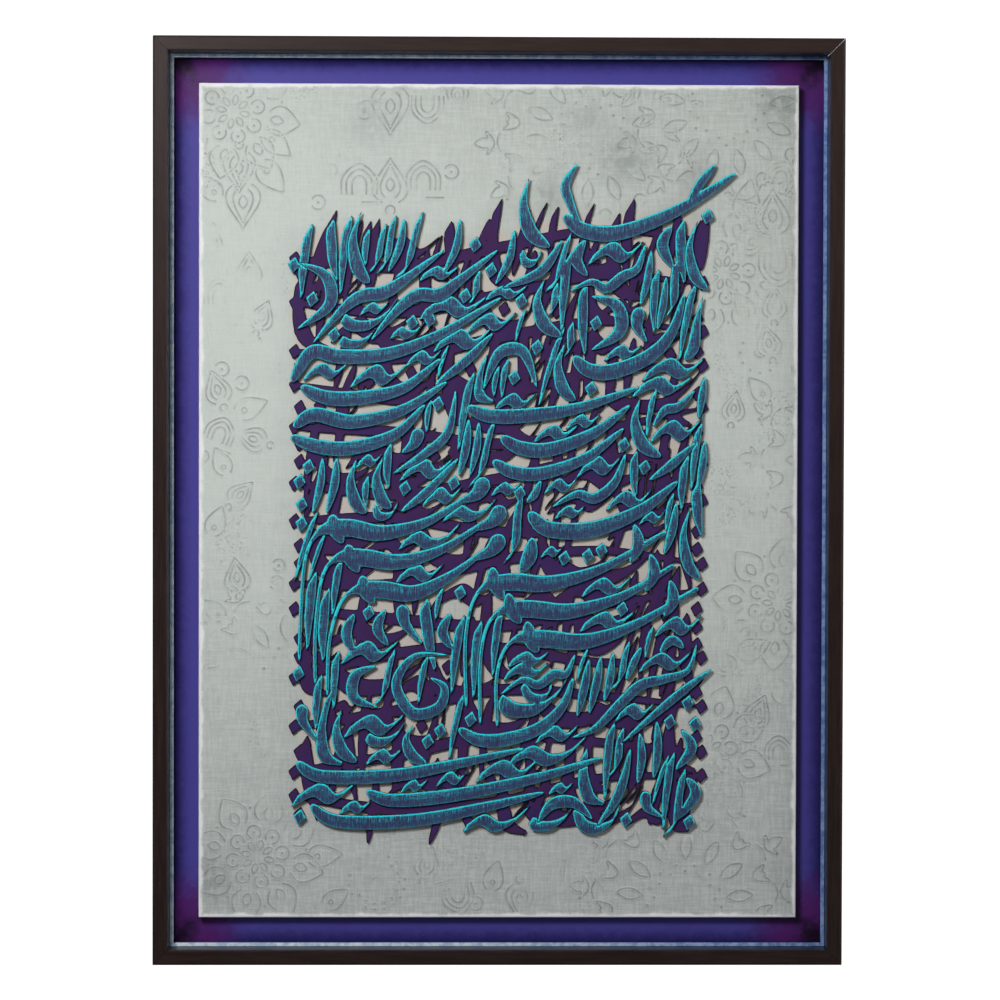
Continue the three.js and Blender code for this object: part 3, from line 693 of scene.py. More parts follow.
def border_lozenges(field, clear=0.6):
    """Columns of lozenges down both sides of the lower layer, where there is room."""
    added = []
    for side in (-199, 199):
        for z in np.arange(FILL_BOTTOM + 8, 262, 3.0):
            if field.at([np.array((side, z)) * GRID])[0] < -(LOZENGE_HEIGHT * GRID * 0.42 + clear):
                field.add_lozenge((side, z))
                added.append((side, z))
    return added


def lay_out_strokes():
    """Both layers' strokes with the small ones that fill them up, and each layer's wide field."""
    upper = Field(BLOCK_LOW, BLOCK_HIGH, 0.8, margin=8.0)
    for strokes in [*UPPER_PIECES.values(), SMALL_STROKES]:
        for stroke in strokes:
            upper.add_stroke(stroke)
    for centre in UPPER_LOZENGES:
        upper.add_lozenge(centre)
    small = fill(upper, 2500, (1.1, 0.95, 0.8, 0.66), 0.9, seed=11, fit=0.9)
    diamonds = fill_lozenges(upper, 700, 0.5, seed=5)
    small += fill(upper, 3500, (0.52, 0.42), 0.9, seed=12, fit=0.96)

    strokes, lozenges = lower_strokes()
    lower = Field(BLOCK_LOW, BLOCK_HIGH, 0.8, margin=8.0)
    for stroke in strokes:
        lower.add_stroke(stroke)
    for centre in lozenges:
        lower.add_lozenge(centre)
    low_diamonds = border_lozenges(lower)
    low_small = fill(lower, 3000, (1.3, 1.1), 1.0, seed=21, over=upper, fit=0.6)
    low_diamonds += fill_lozenges(lower, 3000, 0.3, seed=8, over=upper)
    low_small += fill(lower, 3000, (0.85, 0.65), 0.8, seed=22, over=upper, fit=0.68)
    covered = Field(BLOCK_LOW, BLOCK_HIGH, 0.8)
    covered.values = blurred(((upper.values > 0) | (lower.values > 0)).astype(float), 13)
    return {
        "upper": SMALL_STROKES + small,
        "upper_lozenges": UPPER_LOZENGES + diamonds,
        "lower": strokes + low_small,
        "lower_lozenges": lozenges + low_diamonds,
        "upper_field": upper,
        "lower_field": lower,
        "covered": covered,
    }


def blurred(values, reach):
    """Each value's mean over the square that reaches so many cells to all sides of it."""
    for axis in (0, 1):
        edges = [(reach + 1, reach) if axis == k else (0, 0) for k in (0, 1)]
        run = np.cumsum(np.pad(values, edges), axis=axis)
        here = np.arange(values.shape[axis])
        ahead, behind = (np.take(run, here + shift, axis) for shift in (2 * reach + 1, 0))
        values = (ahead - behind) / (2 * reach + 1)
    return values


def dressed(piece, material, slot, *nodes):
    """Gives a piece its material and puts it in the place of its CAD nodes."""
    piece.data.materials.append(material)
    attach(piece, "root")
    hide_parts(*nodes)
    return piece


class Paint:
    """A node material on one Principled shader. Lengths in it are in millimetres."""

    def __init__(self, name, roughness, specular=0.5, coat=0.0):
        self.material = bpy.data.materials.new(name)
        self.material.use_nodes = True
        self.nodes = self.material.node_tree.nodes
        self.links = self.material.node_tree.links
        self.shader = self.nodes["Principled BSDF"]
        self.shader.inputs["Roughness"].default_value = roughness
        self.shader.inputs["Specular IOR Level"].default_value = specular
        self.shader.inputs["Coat Weight"].default_value = coat
        scale = self.node("ShaderNodeVectorMath", operation="SCALE")
        self.links.new(self.node("ShaderNodeTexCoord").outputs["Object"], scale.inputs[0])
        scale.inputs["Scale"].default_value = 1 / MM
        self.place = scale.outputs[0]
        split = self.node("ShaderNodeSeparateXYZ")
        self.links.new(self.place, split.inputs[0])
        self.x, self.y, self.z = split.outputs

    def node(self, kind, **settings):
        made = self.nodes.new(kind)
        for key, value in settings.items():
            setattr(made, key, value)
        return made

    def feed(self, socket, value):
        if isinstance(value, bpy.types.NodeSocket):
            self.links.new(value, socket)
        elif isinstance(value, tuple):
            socket.default_value = (*value, 1.0)[: len(socket.default_value)]
        else:
            socket.default_value = value

    def math(self, operation, *values):
        made = self.node("ShaderNodeMath", operation=operation)
        for socket, value in zip(made.inputs, values):
            self.feed(socket, value)
        return made.outputs[0]

    def ramp(self, value, start, end, low=0.0, high=1.0):
        """low before start, high after end, smooth between."""
        made = self.node("ShaderNodeMapRange", interpolation_type="SMOOTHSTEP")
        for socket, number in zip(made.inputs, (value, start, end, low, high)):
            self.feed(socket, number)
        return made.outputs[0]

    def mix(self, share, first, second):
        made = self.node("ShaderNodeMix", data_type="RGBA")
        self.feed(made.inputs[0], share)
        self.feed(made.inputs[6], first)
        self.feed(made.inputs[7], second)
        return made.outputs[2]

    def noise(self, across, along, detail=3.0, shift=0.0, roughness=0.55):
        """Noise with blobs about so many millimetres wide and high."""
        spread = self.node("ShaderNodeMapping")
        self.links.new(self.place, spread.inputs["Vector"])
        spread.inputs["Scale"].default_value = (1 / across, 1 / across, 1 / along)
        spread.inputs["Location"].default_value = (shift, shift * 1.7, shift * 0.6)
        made = self.node("ShaderNodeTexNoise")
        self.links.new(spread.outputs[0], made.inputs["Vector"])
        made.inputs["Scale"].default_value = 1.0
        made.inputs["Detail"].default_value = detail
        made.inputs["Roughness"].default_value = roughness
        return made.outputs[0]

    def value(self, name):
        """The numbers that a mesh holds under this name."""
        return self.node("ShaderNodeAttribute", attribute_name=name).outputs["Fac"]

    def bump(self, height, strength, distance=0.3):
        made = self.node("ShaderNodeBump")
        made.inputs["Strength"].default_value = strength
        made.inputs["Distance"].default_value = distance * MM
        self.links.new(height, made.inputs["Height"])
        self.links.new(made.outputs[0], self.shader.inputs["Normal"])

    def colour(self, value):
        self.feed(self.shader.inputs["Base Color"], value)
        return self.material


def upper_paint():
    """Dark blue-purple, dry-brushed with turquoise: a bright line round the edge and streaks within,
    brighter on the edges that look up as painted highlight; the walls nearly black, partly as painted shade.
    """
    paint = Paint("turquoise_dry_brush", 0.42, 0.4)
    edge = paint.value("edge")
    facing = paint.value("facing")
    upright = paint.ramp(paint.noise(0.95, 9, 4, 3.1, 0.7), 0.46, 0.64)
    level = paint.ramp(paint.noise(9, 0.9, 4, 7.7, 0.7), 0.5, 0.66)
    patches = paint.ramp(paint.noise(34, 22, 2, 1.3), 0.38, 0.6)
    streaks = paint.math("MAXIMUM", upright, paint.math("MULTIPLY", level, patches))
    grain = paint.noise(1.5, 1.5, 3, 9.2)
    # Painted highlight: the line is broadest and brightest along the edges that look up, towards the light.
    wander = paint.math("ADD", edge, paint.math("MULTIPLY", grain, 1.5))
    drawn = paint.math("SUBTRACT", wander, paint.math("MULTIPLY", facing, 0.35))
    rim = paint.math("MULTIPLY", paint.ramp(drawn, 1.2, 2.0, 1, 0), paint.ramp(edge, 0.05, 0.35))
    highlight = paint.ramp(paint.math("ADD", facing, paint.noise(11, 11, 3, 5.5)), -0.5, 1.1, 0.45, 1.0)
    line = paint.math("MULTIPLY", rim, highlight)
    # The dry brush fades inwards from the edges and is strongest on the edges that look up, a painted
    # highlight.
    highlight_side = paint.ramp(facing, -0.4, 0.5, 0.25, 1.0)
    inwards = paint.math("MULTIPLY", paint.ramp(edge, 0.8, 6.5, 1, 0.35), highlight_side)
    bleed = paint.math("MULTIPLY", streaks, inwards)
    body = paint.mix(paint.noise(9, 30, 3, 4.4), (0.040, 0.027, 0.100), (0.036, 0.048, 0.145))
    dabs = paint.ramp(paint.noise(2.2, 2.6, 3, 8.4), 0.52, 0.7, 0, 0.6)
    dabbed = paint.mix(dabs, body, (0.026, 0.105, 0.205))
    washed = paint.mix(bleed, dabbed, (0.018, 0.36, 0.49))
    catch = paint.math("MAXIMUM", paint.ramp(grain, 0.46, 0.68), paint.ramp(edge, 1.0, 3.2, 0.8, 0))
    lit = paint.mix(paint.math("MULTIPLY", bleed, catch), washed, (0.03, 0.70, 0.80))
    lined = paint.mix(line, lit, (0.030, 0.84, 0.93))
    paint.bump(paint.math("ADD", streaks, grain), 0.35, 0.25)
    # Near-black walls and outer bevel: dark edge paint, partly painted shade.
    return paint.colour(paint.mix(paint.ramp(edge, -0.5, 0.16), (0.008, 0.005, 0.014), lined))


def lower_paint():
    """Flat dark purple, a little bluer in places and nearly black along its edges and walls, partly as
    painted shade.
    """
    paint = Paint("flat_purple", 0.65, 0.25)
    edge = paint.value("edge")
    hue = paint.ramp(paint.noise(26, 30, 3, 2.2), 0.4, 0.62)
    body = paint.mix(hue, (0.062, 0.019, 0.104), (0.053, 0.022, 0.128))
    rubbed = paint.mix(paint.ramp(paint.noise(3, 7, 4, 5.1), 0.55, 0.8, 0, 0.3), body, (0.07, 0.04, 0.14))
    paint.bump(paint.noise(1.2, 2.4, 4, 6.0), 0.15)
    # Nearly black along the edges and walls: dark edge paint, partly painted shade.
    return paint.colour(paint.mix(paint.ramp(edge, 0.2, 1.3), (0.008, 0.004, 0.015), rubbed))


def plaster_paint():
    """Pale plaster with painted shade, greyer to the lower right and darker to the upper right; warm by the
    strokes, white along the board's edges, dirt and painted shade in the relief's grooves.
    """
    paint = Paint("brushed_plaster", 0.75, 0.25)
    # Painted shade: greyer towards the lower right, where less light falls.
    down = paint.math("MULTIPLY", paint.z, -0.002)
    slope = paint.math("ADD", paint.math("MULTIPLY", paint.x, 0.0004), down)
    cloud = paint.math("MULTIPLY", paint.math("SUBTRACT", paint.noise(60, 45, 4, 2.0), 0.5), 0.5)
    painted_falloff = paint.ramp(paint.math("ADD", slope, cloud), -0.35, 0.75)
    clean = paint.mix(painted_falloff, (0.655, 0.700, 0.650), (0.455, 0.487, 0.482))
    # Painted shade: darker towards the upper right corner.
    rise = paint.math("ADD", paint.z, paint.math("MULTIPLY", paint.x, 0.5))
    pale = paint.mix(paint.ramp(rise, 100, 420, 0, 0.42), clean, (0.31, 0.33, 0.31))
    brushed = paint.math("ADD", paint.noise(1.6, 14, 5, 4.0, 0.7), paint.noise(18, 1.4, 5, 8.0, 0.7))
    streaked = paint.mix(paint.ramp(brushed, 0.8, 1.25, 0, 0.5), pale, (0.74, 0.78, 0.74))
    blotches = paint.ramp(paint.noise(5, 8, 5, 6.5, 0.7), 0.54, 0.8, 0, 0.3)
    greyed = paint.mix(blotches, streaked, (0.34, 0.37, 0.37))
    # Rough patches, where the stencil's paste has crumbled to specks.
    rough = paint.ramp(paint.noise(46, 60, 3, 4.6), 0.56, 0.66)
    specks = paint.noise(1.9, 1.9, 3, 2.9, 0.6)
    crumbs = paint.math("MULTIPLY", rough, paint.ramp(specks, 0.54, 0.66, 0, 0.5))
    speckled = paint.mix(crumbs, greyed, (0.25, 0.28, 0.27))
    warm = paint.mix(paint.math("MULTIPLY", paint.value("near"), 0.85), speckled, (0.70, 0.62, 0.56))
    # Dirt and painted shade in the creases of the relief, and dirt smeared on the plaster.
    dirt_and_shade = paint.ramp(paint.noise(9, 9, 4, 7.2), 0.3, 0.7, 0.25, 0.7)
    stained_and_shaded = paint.mix(paint.math("MULTIPLY", paint.value("wash"), dirt_and_shade), warm, (0.17, 0.19, 0.185))
    smear = paint.ramp(paint.noise(7, 7, 5, 1.1), 0.35, 0.6, 0.3, 1.0)
    smudged = paint.mix(paint.math("MULTIPLY", paint.value("smudge"), smear), stained_and_shaded, (0.20, 0.225, 0.22))
    wide = paint.math("SUBTRACT", BOARD_HIGH.x, paint.math("ABSOLUTE", paint.x))
    tall = paint.math("SUBTRACT", BOARD_HIGH.z, paint.math("ABSOLUTE", paint.z))
    inset = paint.math("MINIMUM", wide, tall)
    frayed = paint.math("ADD", inset, paint.math("MULTIPLY", paint.noise(14, 14, 4, 3.3), -8))
    lumps = paint.math("MULTIPLY", rough, paint.math("MULTIPLY", specks, 2.5))
    fine = paint.math("ADD", brushed, paint.noise(0.9, 0.9, 3, 5.5))
    paint.bump(paint.math("ADD", fine, lumps), 0.4, 0.4)
    return paint.colour(paint.mix(paint.ramp(frayed, -2.8, 0.6, 0.95, 0), smudged, (0.96, 0.97, 0.97)))


def tray_paint():
    """Violet lacquer with painted shade, darkening towards the rim and to black in the corners with a
    magenta tint by them; a light blue rim, painted lighter on the left and darker on the right as painted
    light and shade; and a bare brown back.
    """
    paint = Paint("violet_lacquer", 0.4, 0.35)
    wide = paint.math("SUBTRACT", TRAY_HIGH.x, paint.math("ABSOLUTE", paint.x))
    tall = paint.math("SUBTRACT", TRAY_HIGH.z, paint.math("ABSOLUTE", paint.z))
    inset = paint.math("MINIMUM", wide, tall)
    mottle = paint.noise(7, 7, 4, 1.9)
    depth = paint.math("ADD", inset, paint.math("MULTIPLY", mottle, 7))
    # Painted shade: the floor darkens towards the rim.
    floor = paint.mix(paint.ramp(depth, 5, 22), (0.016, 0.012, 0.105), (0.072, 0.060, 0.325))
    corner = paint.math("ADD", paint.math("MAXIMUM", wide, tall), paint.math("MULTIPLY", mottle, 30))
    magenta = paint.mix(paint.ramp(corner, 45, 85, 0.9, 0), floor, (0.085, 0.010, 0.130))
    # Painted shade: black in the corners.
    corner_shade = paint.mix(paint.ramp(corner, 22, 46, 0.92, 0), magenta, (0.004, 0.002, 0.006))
    specks = paint.ramp(paint.noise(0.9, 0.9, 2, 7.0), 0.72, 0.76)
    dusted = paint.mix(paint.math("MULTIPLY", specks, 0.6), corner_shade, (0.35, 0.33, 0.55))
    worn = paint.ramp(paint.noise(5, 5, 4, 4.2), 0.35, 0.65)
    # Painted light and shade: the rim is lighter on the left and darker on the right.
    lit_left_rim = paint.mix(worn, (0.40, 0.56, 0.76), (0.74, 0.86, 0.96))
    shaded_right_rim = paint.mix(worn, (0.10, 0.19, 0.46), (0.25, 0.38, 0.66))
    rim = paint.mix(paint.ramp(paint.x, -150, 274), lit_left_rim, shaded_right_rim)
    lacquered = paint.mix(paint.ramp(paint.y, -13.2, -13.8), dusted, rim)
    fibres = paint.math("ADD", paint.noise(1.4, 1.4, 4, 8.8), paint.noise(40, 55, 3, 3.7))
    bare = paint.mix(paint.ramp(fibres, 0.75, 1.3), (0.105, 0.068, 0.042), (0.175, 0.118, 0.076))
    paint.bump(paint.math("ADD", mottle, paint.noise(1.4, 1.4, 4, 8.8)), 0.1)
    return paint.colour(paint.mix(paint.ramp(paint.y, -1.2, -0.6), lacquered, bare))


def frame_stain(name, across, along):
    """Dark stained wood with its grain along the rail, lighter towards the top as painted light."""
    paint = Paint(name, 0.32, 0.4)
    grain = paint.noise(across, along, 4, 2.7, 0.65)
    fine = paint.noise(across * 0.4, along * 0.5, 3, 5.9)
    brown = paint.mix(paint.ramp(grain, 0.35, 0.7), (0.019, 0.010, 0.008), (0.034, 0.020, 0.017))
    # Painted light: lighter towards the top.
    painted_top_light = paint.mix(paint.ramp(paint.z, -120, 360, 0, 0.25), brown, (0.075, 0.050, 0.045))
    paint.bump(paint.math("ADD", grain, fine), 0.1, 0.15)
    return paint.colour(paint.mix(paint.ramp(fine, 0.5, 0.75, 0, 0.3), painted_top_light, (0.012, 0.008, 0.007)))


class Noise:
    """Smooth noise between -1 and 1 over the board, in patches so many millimetres across."""

    def __init__(self, patch, seed):
        self.patch = patch
        self.values = np.random.default_rng(seed).uniform(-1, 1, (220, 220))

    def at(self, x, z):
        u, v = np.asarray(x, float) / self.patch + 110, np.asarray(z, float) / self.patch + 110
        c, r = np.floor(u).astype(int), np.floor(v).astype(int)
        s, t = smooth(u - c), smooth(v - r)
        f = self.values
        c, r = c % 219, r % 219
        low = f[r, c] * (1 - s) + f[r, c + 1] * s
        high = f[r + 1, c] * (1 - s) + f[r + 1, c + 1] * s
        return low * (1 - t) + high * t


TROWEL_WIDE, TROWEL_FINE = Noise(42, 3), Noise(13, 4)
WEAR, WEAR_FINE = Noise(36, 6), Noise(7, 8)
EDGE_ROUND = 1.6


def board_front(x, z):
    """The board's plastered face: y over its plane, rounded off at the edges."""
    inset = np.minimum(BOARD_HIGH.x - np.abs(x), BOARD_HIGH.z - np.abs(z))
    turn = np.clip(1 - inset / EDGE_ROUND, 0, 1)
    drop = EDGE_ROUND * (1 - np.sqrt(1 - turn**2)) * 0.7
    return BOARD_FRONT + 0.04 + drop + 0.11 * TROWEL_WIDE.at(x, z) + 0.05 * TROWEL_FINE.at(x, z)


def nearness(x, z, start=0.3, end=0.65):
    """1 among the strokes, falling to 0 at the block's edge."""
    return ramp(start, end, layout["covered"].at(np.stack([x, z], 1)))


def grid_lines(half, step):
    """Places from -half to half, close together at both ends for the rounded edge."""
    ends = half - EDGE_ROUND * np.array([0, 0.12, 0.4, 0.75, 1.3])
    inner = np.linspace(-ends[-1], ends[-1], int(2 * half / step))
    return np.concatenate([-ends[:-1], inner, ends[:-1][::-1]])


def plaster_board(step=2.4):
    xs, zs = grid_lines(BOARD_HIGH.x, step), grid_lines(BOARD_HIGH.z, step)
    x, z = (a.ravel() for a in np.meshgrid(xs, zs))
    front = np.stack([x, board_front(x, z), z], 1)
    columns, rows = len(xs), len(zs)
    index = np.arange(columns * rows).reshape(rows, columns)
    quads = np.stack([index[:-1, :-1], index[:-1, 1:], index[1:, 1:], index[1:, :-1]], -1).reshape(-1, 4)
    ring = np.concatenate([index[0, :-1], index[:-1, -1], index[-1, :0:-1], index[:0:-1, 0]])
    back = front[ring].copy()
    back[:, 1] = BOARD_HIGH.y
    foot = len(front) + np.arange(len(ring))
    walls = np.stack([np.roll(ring, -1), ring, foot, np.roll(foot, -1)], 1)
    centre = len(front) + len(ring)
    cover = np.stack([np.roll(foot, -1), foot, np.full(len(foot), centre)], 1)
    points = np.concatenate([front, back, [[0, BOARD_HIGH.y, 0]]])
    near = nearness(points[:, 0], points[:, 2])
    smudge = smudges(points[:, 0], points[:, 2])
    return new_object(
        "plaster_board", points, cover, np.concatenate([quads, walls]), near=near, smudge=smudge
    )


# Grey smudges on the plaster: centre on the grid, radius and strength.
SMUDGES = [
    ((281, 401), 26, 0.6), ((286, -366), 30, 0.2), ((-290, -381), 26, 0.5), ((125, 345), 24, 0.5),
    ((50, 304), 15, 0.35), ((88, 385), 15, 0.3), ((-289, 405), 14, 0.2), ((-130, 378), 26, 0.2),
    ((205, 330), 20, 0.25),
]


def smudges(x, z):
    total = np.zeros(len(x))
    for (u, v), radius, strength in SMUDGES:
        total += strength * np.exp(-((x / GRID - u) ** 2 + (z / GRID - v) ** 2) / radius**2)
    return np.clip(total, 0, 1)


def turned(points, angle):
    c, s = math.cos(angle), math.sin(angle)
    return np.asarray(points, float) @ np.array([[c, s], [-s, c]])


def petal(start, end, half_width, fullness=0.8, opening=0.0, swelling=1.0):
    """A petal along +x from start to end: its outline from one side of its foot to the other."""
    t = np.linspace(opening, 1, 22)
    half = half_width * np.sin(np.pi * t**swelling).clip(0) ** fullness
    along = start + (end - start) * t
    return np.concatenate([np.stack([along, half], 1), np.stack([along, -half], 1)[::-1][1:]])


def ring(x, z, radius, gap=0.0):
    angles = np.linspace(gap / 2, 2 * math.pi - gap / 2, 20)
    return np.stack([x - radius * np.cos(angles), z + radius * np.sin(angles)], 1)


def both_sides(half):
    """A closed outline from its upper half, which starts and ends on the x axis."""
    half = np.asarray(half, float)
    whole = np.concatenate([half, (half * (1, -1))[::-1][1:]])
    return spline(whole, np.linspace(0, 1, len(whole) * 5))


# Each motif is its lines and its dots, about its own centre, in grid units.
def mandala(petals=13):
    lines, dots = [], []
    tulip = both_sides([(73, 0), (76, 5), (88, 9), (84, 3), (86, 0)])
    trefoil = both_sides([(97, 0), (99, 5), (105, 12), (104, 5), (109, 5), (117, 0)])
    for i in range(petals):
        angle = 2 * math.pi * i / petals
        between = angle + math.pi / petals
        lines.append(turned(petal(43, 69, 5.6), angle))
        lines.append(turned(tulip, between))
        lines.append(turned(trefoil, angle))
        lines.append(turned(spline([(91, -10), (94.5, 0), (91, 10)], np.linspace(0, 1, 12)), angle))
        dots += [turned([(31, 0)], angle)[0], turned([(37.5, 0)], between)[0]]
    return lines, dots


def ring_mandala(petals=8):
    lines, dots = [], []
    for i in range(petals):
        angle = 2 * math.pi * i / petals
        between = angle + math.pi / petals
        lines.append(turned(ring(25, 0, 6.8, 1.1), angle))
        lines.append(turned(petal(7, 17, 2.8), between))
        lines.append(turned(petal(38, 51, 4.2), between))
        lines.append(turned(petal(32, 68, 14.5, 0.95, 0.1, 0.8), between))
        dots += [turned([(25, 0)], angle)[0], turned([(50, 0)], angle)[0]]
    return lines, dots


def onion(size=20.0):
    """An ogee bud with two outlines, a bead in it and a small ring at its foot."""
    lines = [petal(-size, size, size * 0.72 * k, 1.15, 0.06, 0.62) * k for k in (1.0, 0.76)]
    lines.append(petal(-size * 0.4, size * 0.15, size * 0.17))
    lines.append(ring(-size * 1.2, 0, size * 0.2, 1.4))
    return lines, []


def leaf_bud(size=20.0):
    """A drop with a bead in it."""
    return [petal(-size * 0.8, size, size * 0.55, 0.9, 0.05, 0.7), ring(-size * 0.25, 0, size * 0.13)], []


def bell(size=20.0):
    """Nested arches over a straight foot."""
    lines = []
    for k in (1.0, 0.72, 0.4):
        arch = [(-size * 0.5, -size * 0.8 * k), (size * 0.3 * k, -size * 0.75 * k), (size * k * 0.9, 0)]
        whole = arch + [(u, -v) for u, v in arch[-2::-1]]
        lines.append(spline(whole, np.linspace(0, 1, 24)))
    lines.append(spline([(-size * 0.85, -size), (-size * 0.85, -2)], np.linspace(0, 1, 6)))
    return lines, []


def small_ring(size=7.0):
    return [ring(0, 0, size, 0.9)], [(0, 0)]


def dotted_ring(radius=25.0, number=14):
    angles = [2 * math.pi * i / number for i in range(number)]
    dots = [(radius * math.cos(a), radius * math.sin(a)) for a in angles]
    return [petal(-6, 6, 4.5)], dots


# Motif, its centre on the grid, how far it is turned, and how worn it is.
QUARTER = math.pi / 2
MOTIFS = [
    (mandala(), (228, 395), 0.1, -0.4), (mandala(), (92, 365), 0.3, 0.05), (mandala(), (357, 40), 0.2, 0.0),
    (mandala(), (188, -402), 0.1, -0.15), (mandala(), (-208, -183), 0.2, 0.15),
    (ring_mandala(), (-266, 389), 0.2, 0.0), (ring_mandala(), (225, 230), 0.1, 0.15),
    (ring_mandala(), (282, -102), 0.3, -0.05), (ring_mandala(), (209, -250), 0.1, 0.05),
    (ring_mandala(), (-241, -357), 0.15, -0.2),
    # The upper left.
    (onion(22), (-260, 330), -QUARTER, -0.1), (onion(24), (-256, 296), -QUARTER, -0.3),
    (leaf_bud(22), (-229, 326), -0.9, -0.15), (leaf_bud(20), (-224, 358), -0.7, 0.05),
    (leaf_bud(18), (-288, 312), 2.3, 0.0), (onion(17), (-288, 262), 1.4, 0.1),
    (onion(18), (-250, 232), QUARTER, 0.0), (bell(18), (-280, 206), QUARTER, 0.1),
    (onion(16), (-236, 186), 1.2, 0.05), (dotted_ring(14, 9), (-250, 172), 0.0, 0.0),
    # The top, left of the middle.
    (onion(26), (-109, 392), -QUARTER, -0.2), (onion(24), (-109, 320), QUARTER, -0.3),
    (bell(22), (-140, 318), QUARTER, -0.15), (bell(21), (-76, 322), QUARTER, -0.1),
    (bell(20), (-72, 396), -QUARTER, -0.05), (leaf_bud(16), (-132, 392), 0.4, -0.1),
    (onion(15), (-42, 404), -QUARTER, 0.0), (small_ring(), (-181, 299), 0, -0.1),
    (small_ring(), (-48, 330), 0, 0.0), (small_ring(6), (-168, 331), 0, 0.05),
    # The upper right and the right.
    (onion(24), (274, 290), QUARTER, -0.2), (bell(24), (280, 238), -QUARTER, -0.15),
    (leaf_bud(24), (248, 300), 1.4, -0.1), (onion(18), (256, 262), 0.3, -0.05),
    (bell(18), (282, 326), 1.2, 0.0), (onion(17), (276, 200), QUARTER, 0.1),
    (leaf_bud(17), (246, 196), 2.2, 0.1), (onion(17), (270, 162), 1.8, 0.05),
    (dotted_ring(20, 12), (262, 150), 0.0, 0.1), (onion(16), (236, 96), 1.4, 0.1),
    (leaf_bud(17), (262, 112), 2.3, 0.1), (onion(17), (240, 24), 0.5, 0.1),
    # The left.
    (onion(18), (-282, 114), 1.9, -0.15), (leaf_bud(20), (-250, 93), 0.4, -0.1),
    (onion(17), (-248, 63), 2.8, -0.1), (bell(18), (-279, 68), 1.2, -0.1),
    (leaf_bud(17), (-277, 38), 2.0, -0.05), (onion(16), (-257, 8), 0.8, 0.0),
    (small_ring(), (-277, 132), 0, -0.2), (small_ring(), (-257, 118), 0, -0.2),
    (small_ring(6), (-296, 45), 0, -0.1), (small_ring(6), (-220, -64), 0, -0.1),
    (small_ring(), (-222, -82), 0, -0.1), (small_ring(), (-212, -95), 0, -0.1),
    (leaf_bud(18), (-283, -22), 1.2, 0.05), (onion(18), (-262, -74), 1.7, 0.15),
    (leaf_bud(16), (-284, -110), 2.4, 0.1),
    # The lower right.
    (onion(17), (230, -125), 1.2, 0.0), (leaf_bud(20), (255, -148), 0.4, -0.1),
    (onion(16), (225, -160), 2.2, 0.05), (leaf_bud(17), (284, -190), 1.9, 0.1),
    (onion(18), (262, -210), 1.2, 0.1), (bell(17), (282, -250), QUARTER, 0.15),
    # The bottom.
    (leaf_bud(18), (-4, -378), 1.3, -0.1), (onion(19), (22, -402), -QUARTER, -0.1),
    (bell(20), (-40, -396), -1.3, 0.0), (small_ring(), (-22, -404), 0, 0.0),
    (leaf_bud(20), (-176, -356), 0.1, -0.1), (onion(16), (58, -372), 0.9, 0.05),
    (onion(17), (-70, -362), 1.3, 0.1), (leaf_bud(17), (-164, -400), 0.6, 0.05),
    (dotted_ring(22, 15), (-121, -382), 0.0, -0.2), (dotted_ring(28, 18), (-121, -382), 0.1, -0.15),
]

# Across a line of the relief: a groove between two low lips. Place, height, and dirt with painted shade.
LINE_SECTION = [(-2.3, -0.12, 0), (-1.2, 0.55, 0), (-0.4, 0.15, 0.75), (0, 0.02, 1), (0.4, 0.15, 0.75),
                (1.2, 0.55, 0), (2.3, -0.12, 0)]
DOT_SECTION = [(0, 0.02, 1), (0.8, 0.12, 0.8), (1.6, 0.48, 0), (2.6, -0.12, 0)]
SUNK = 0.12


def wear(x, z, base):
    """How much of the relief is left: 1 for crisp, 0 for worn away."""
    left = ramp(-0.5, 0.4, WEAR.at(x, z) * 0.6 + WEAR_FINE.at(x, z) * 0.35 - base + 0.25)
    inset = np.minimum(BOARD_HIGH.x - np.abs(x), BOARD_HIGH.z - np.abs(z))
    return left * (1 - nearness(x, z, 0.05, 0.3)) * ramp(3, 5, inset)


def relief_sheet(places, heights, dirt_and_shade, left):
    """Points of a piece of relief over the board's face, sunk into it where it is worn away."""
    over = heights * left - SUNK * (1 - left)
    y = board_front(places[:, 0], places[:, 1]) - over
    return np.stack([places[:, 0], y, places[:, 1]], 1), dirt_and_shade * left


def relief_line(line, base):
    """A groove with two lips along a line, in runs where it isn't worn away."""
    length = np.concatenate([[0], np.cumsum(np.linalg.norm(np.diff(line, axis=0), axis=1))])
    number = max(4, int(length[-1] / 1.5))
    places = np.linspace(0, length[-1], number)
    line = np.stack([np.interp(places, length, line[:, k]) for k in (0, 1)], 1)
    left = wear(line[:, 0], line[:, 1], base)
    step = np.gradient(line, axis=0)
    step /= np.maximum(np.linalg.norm(step, axis=1), 1e-6)[:, None]
    side = np.stack([-step[:, 1], step[:, 0]], 1)
    shown = left > 0.04
    width = len(LINE_SECTION)
    spots = np.concatenate([line + side * across for across, _, _ in LINE_SECTION])
    heights = np.repeat([height for _, height, _ in LINE_SECTION], number)
    dirt_and_shade = np.repeat([share for _, _, share in LINE_SECTION], number)
    points, dirt_and_shade = relief_sheet(spots, heights, dirt_and_shade, np.tile(left, width))
    i, k = np.meshgrid(np.nonzero(shown[:-1] & shown[1:])[0], np.arange(width - 1))
    low = (k * number + i).ravel()
    quads = np.stack([low, low + 1, low + 1 + number, low + number], 1)
    return points, dirt_and_shade, quads


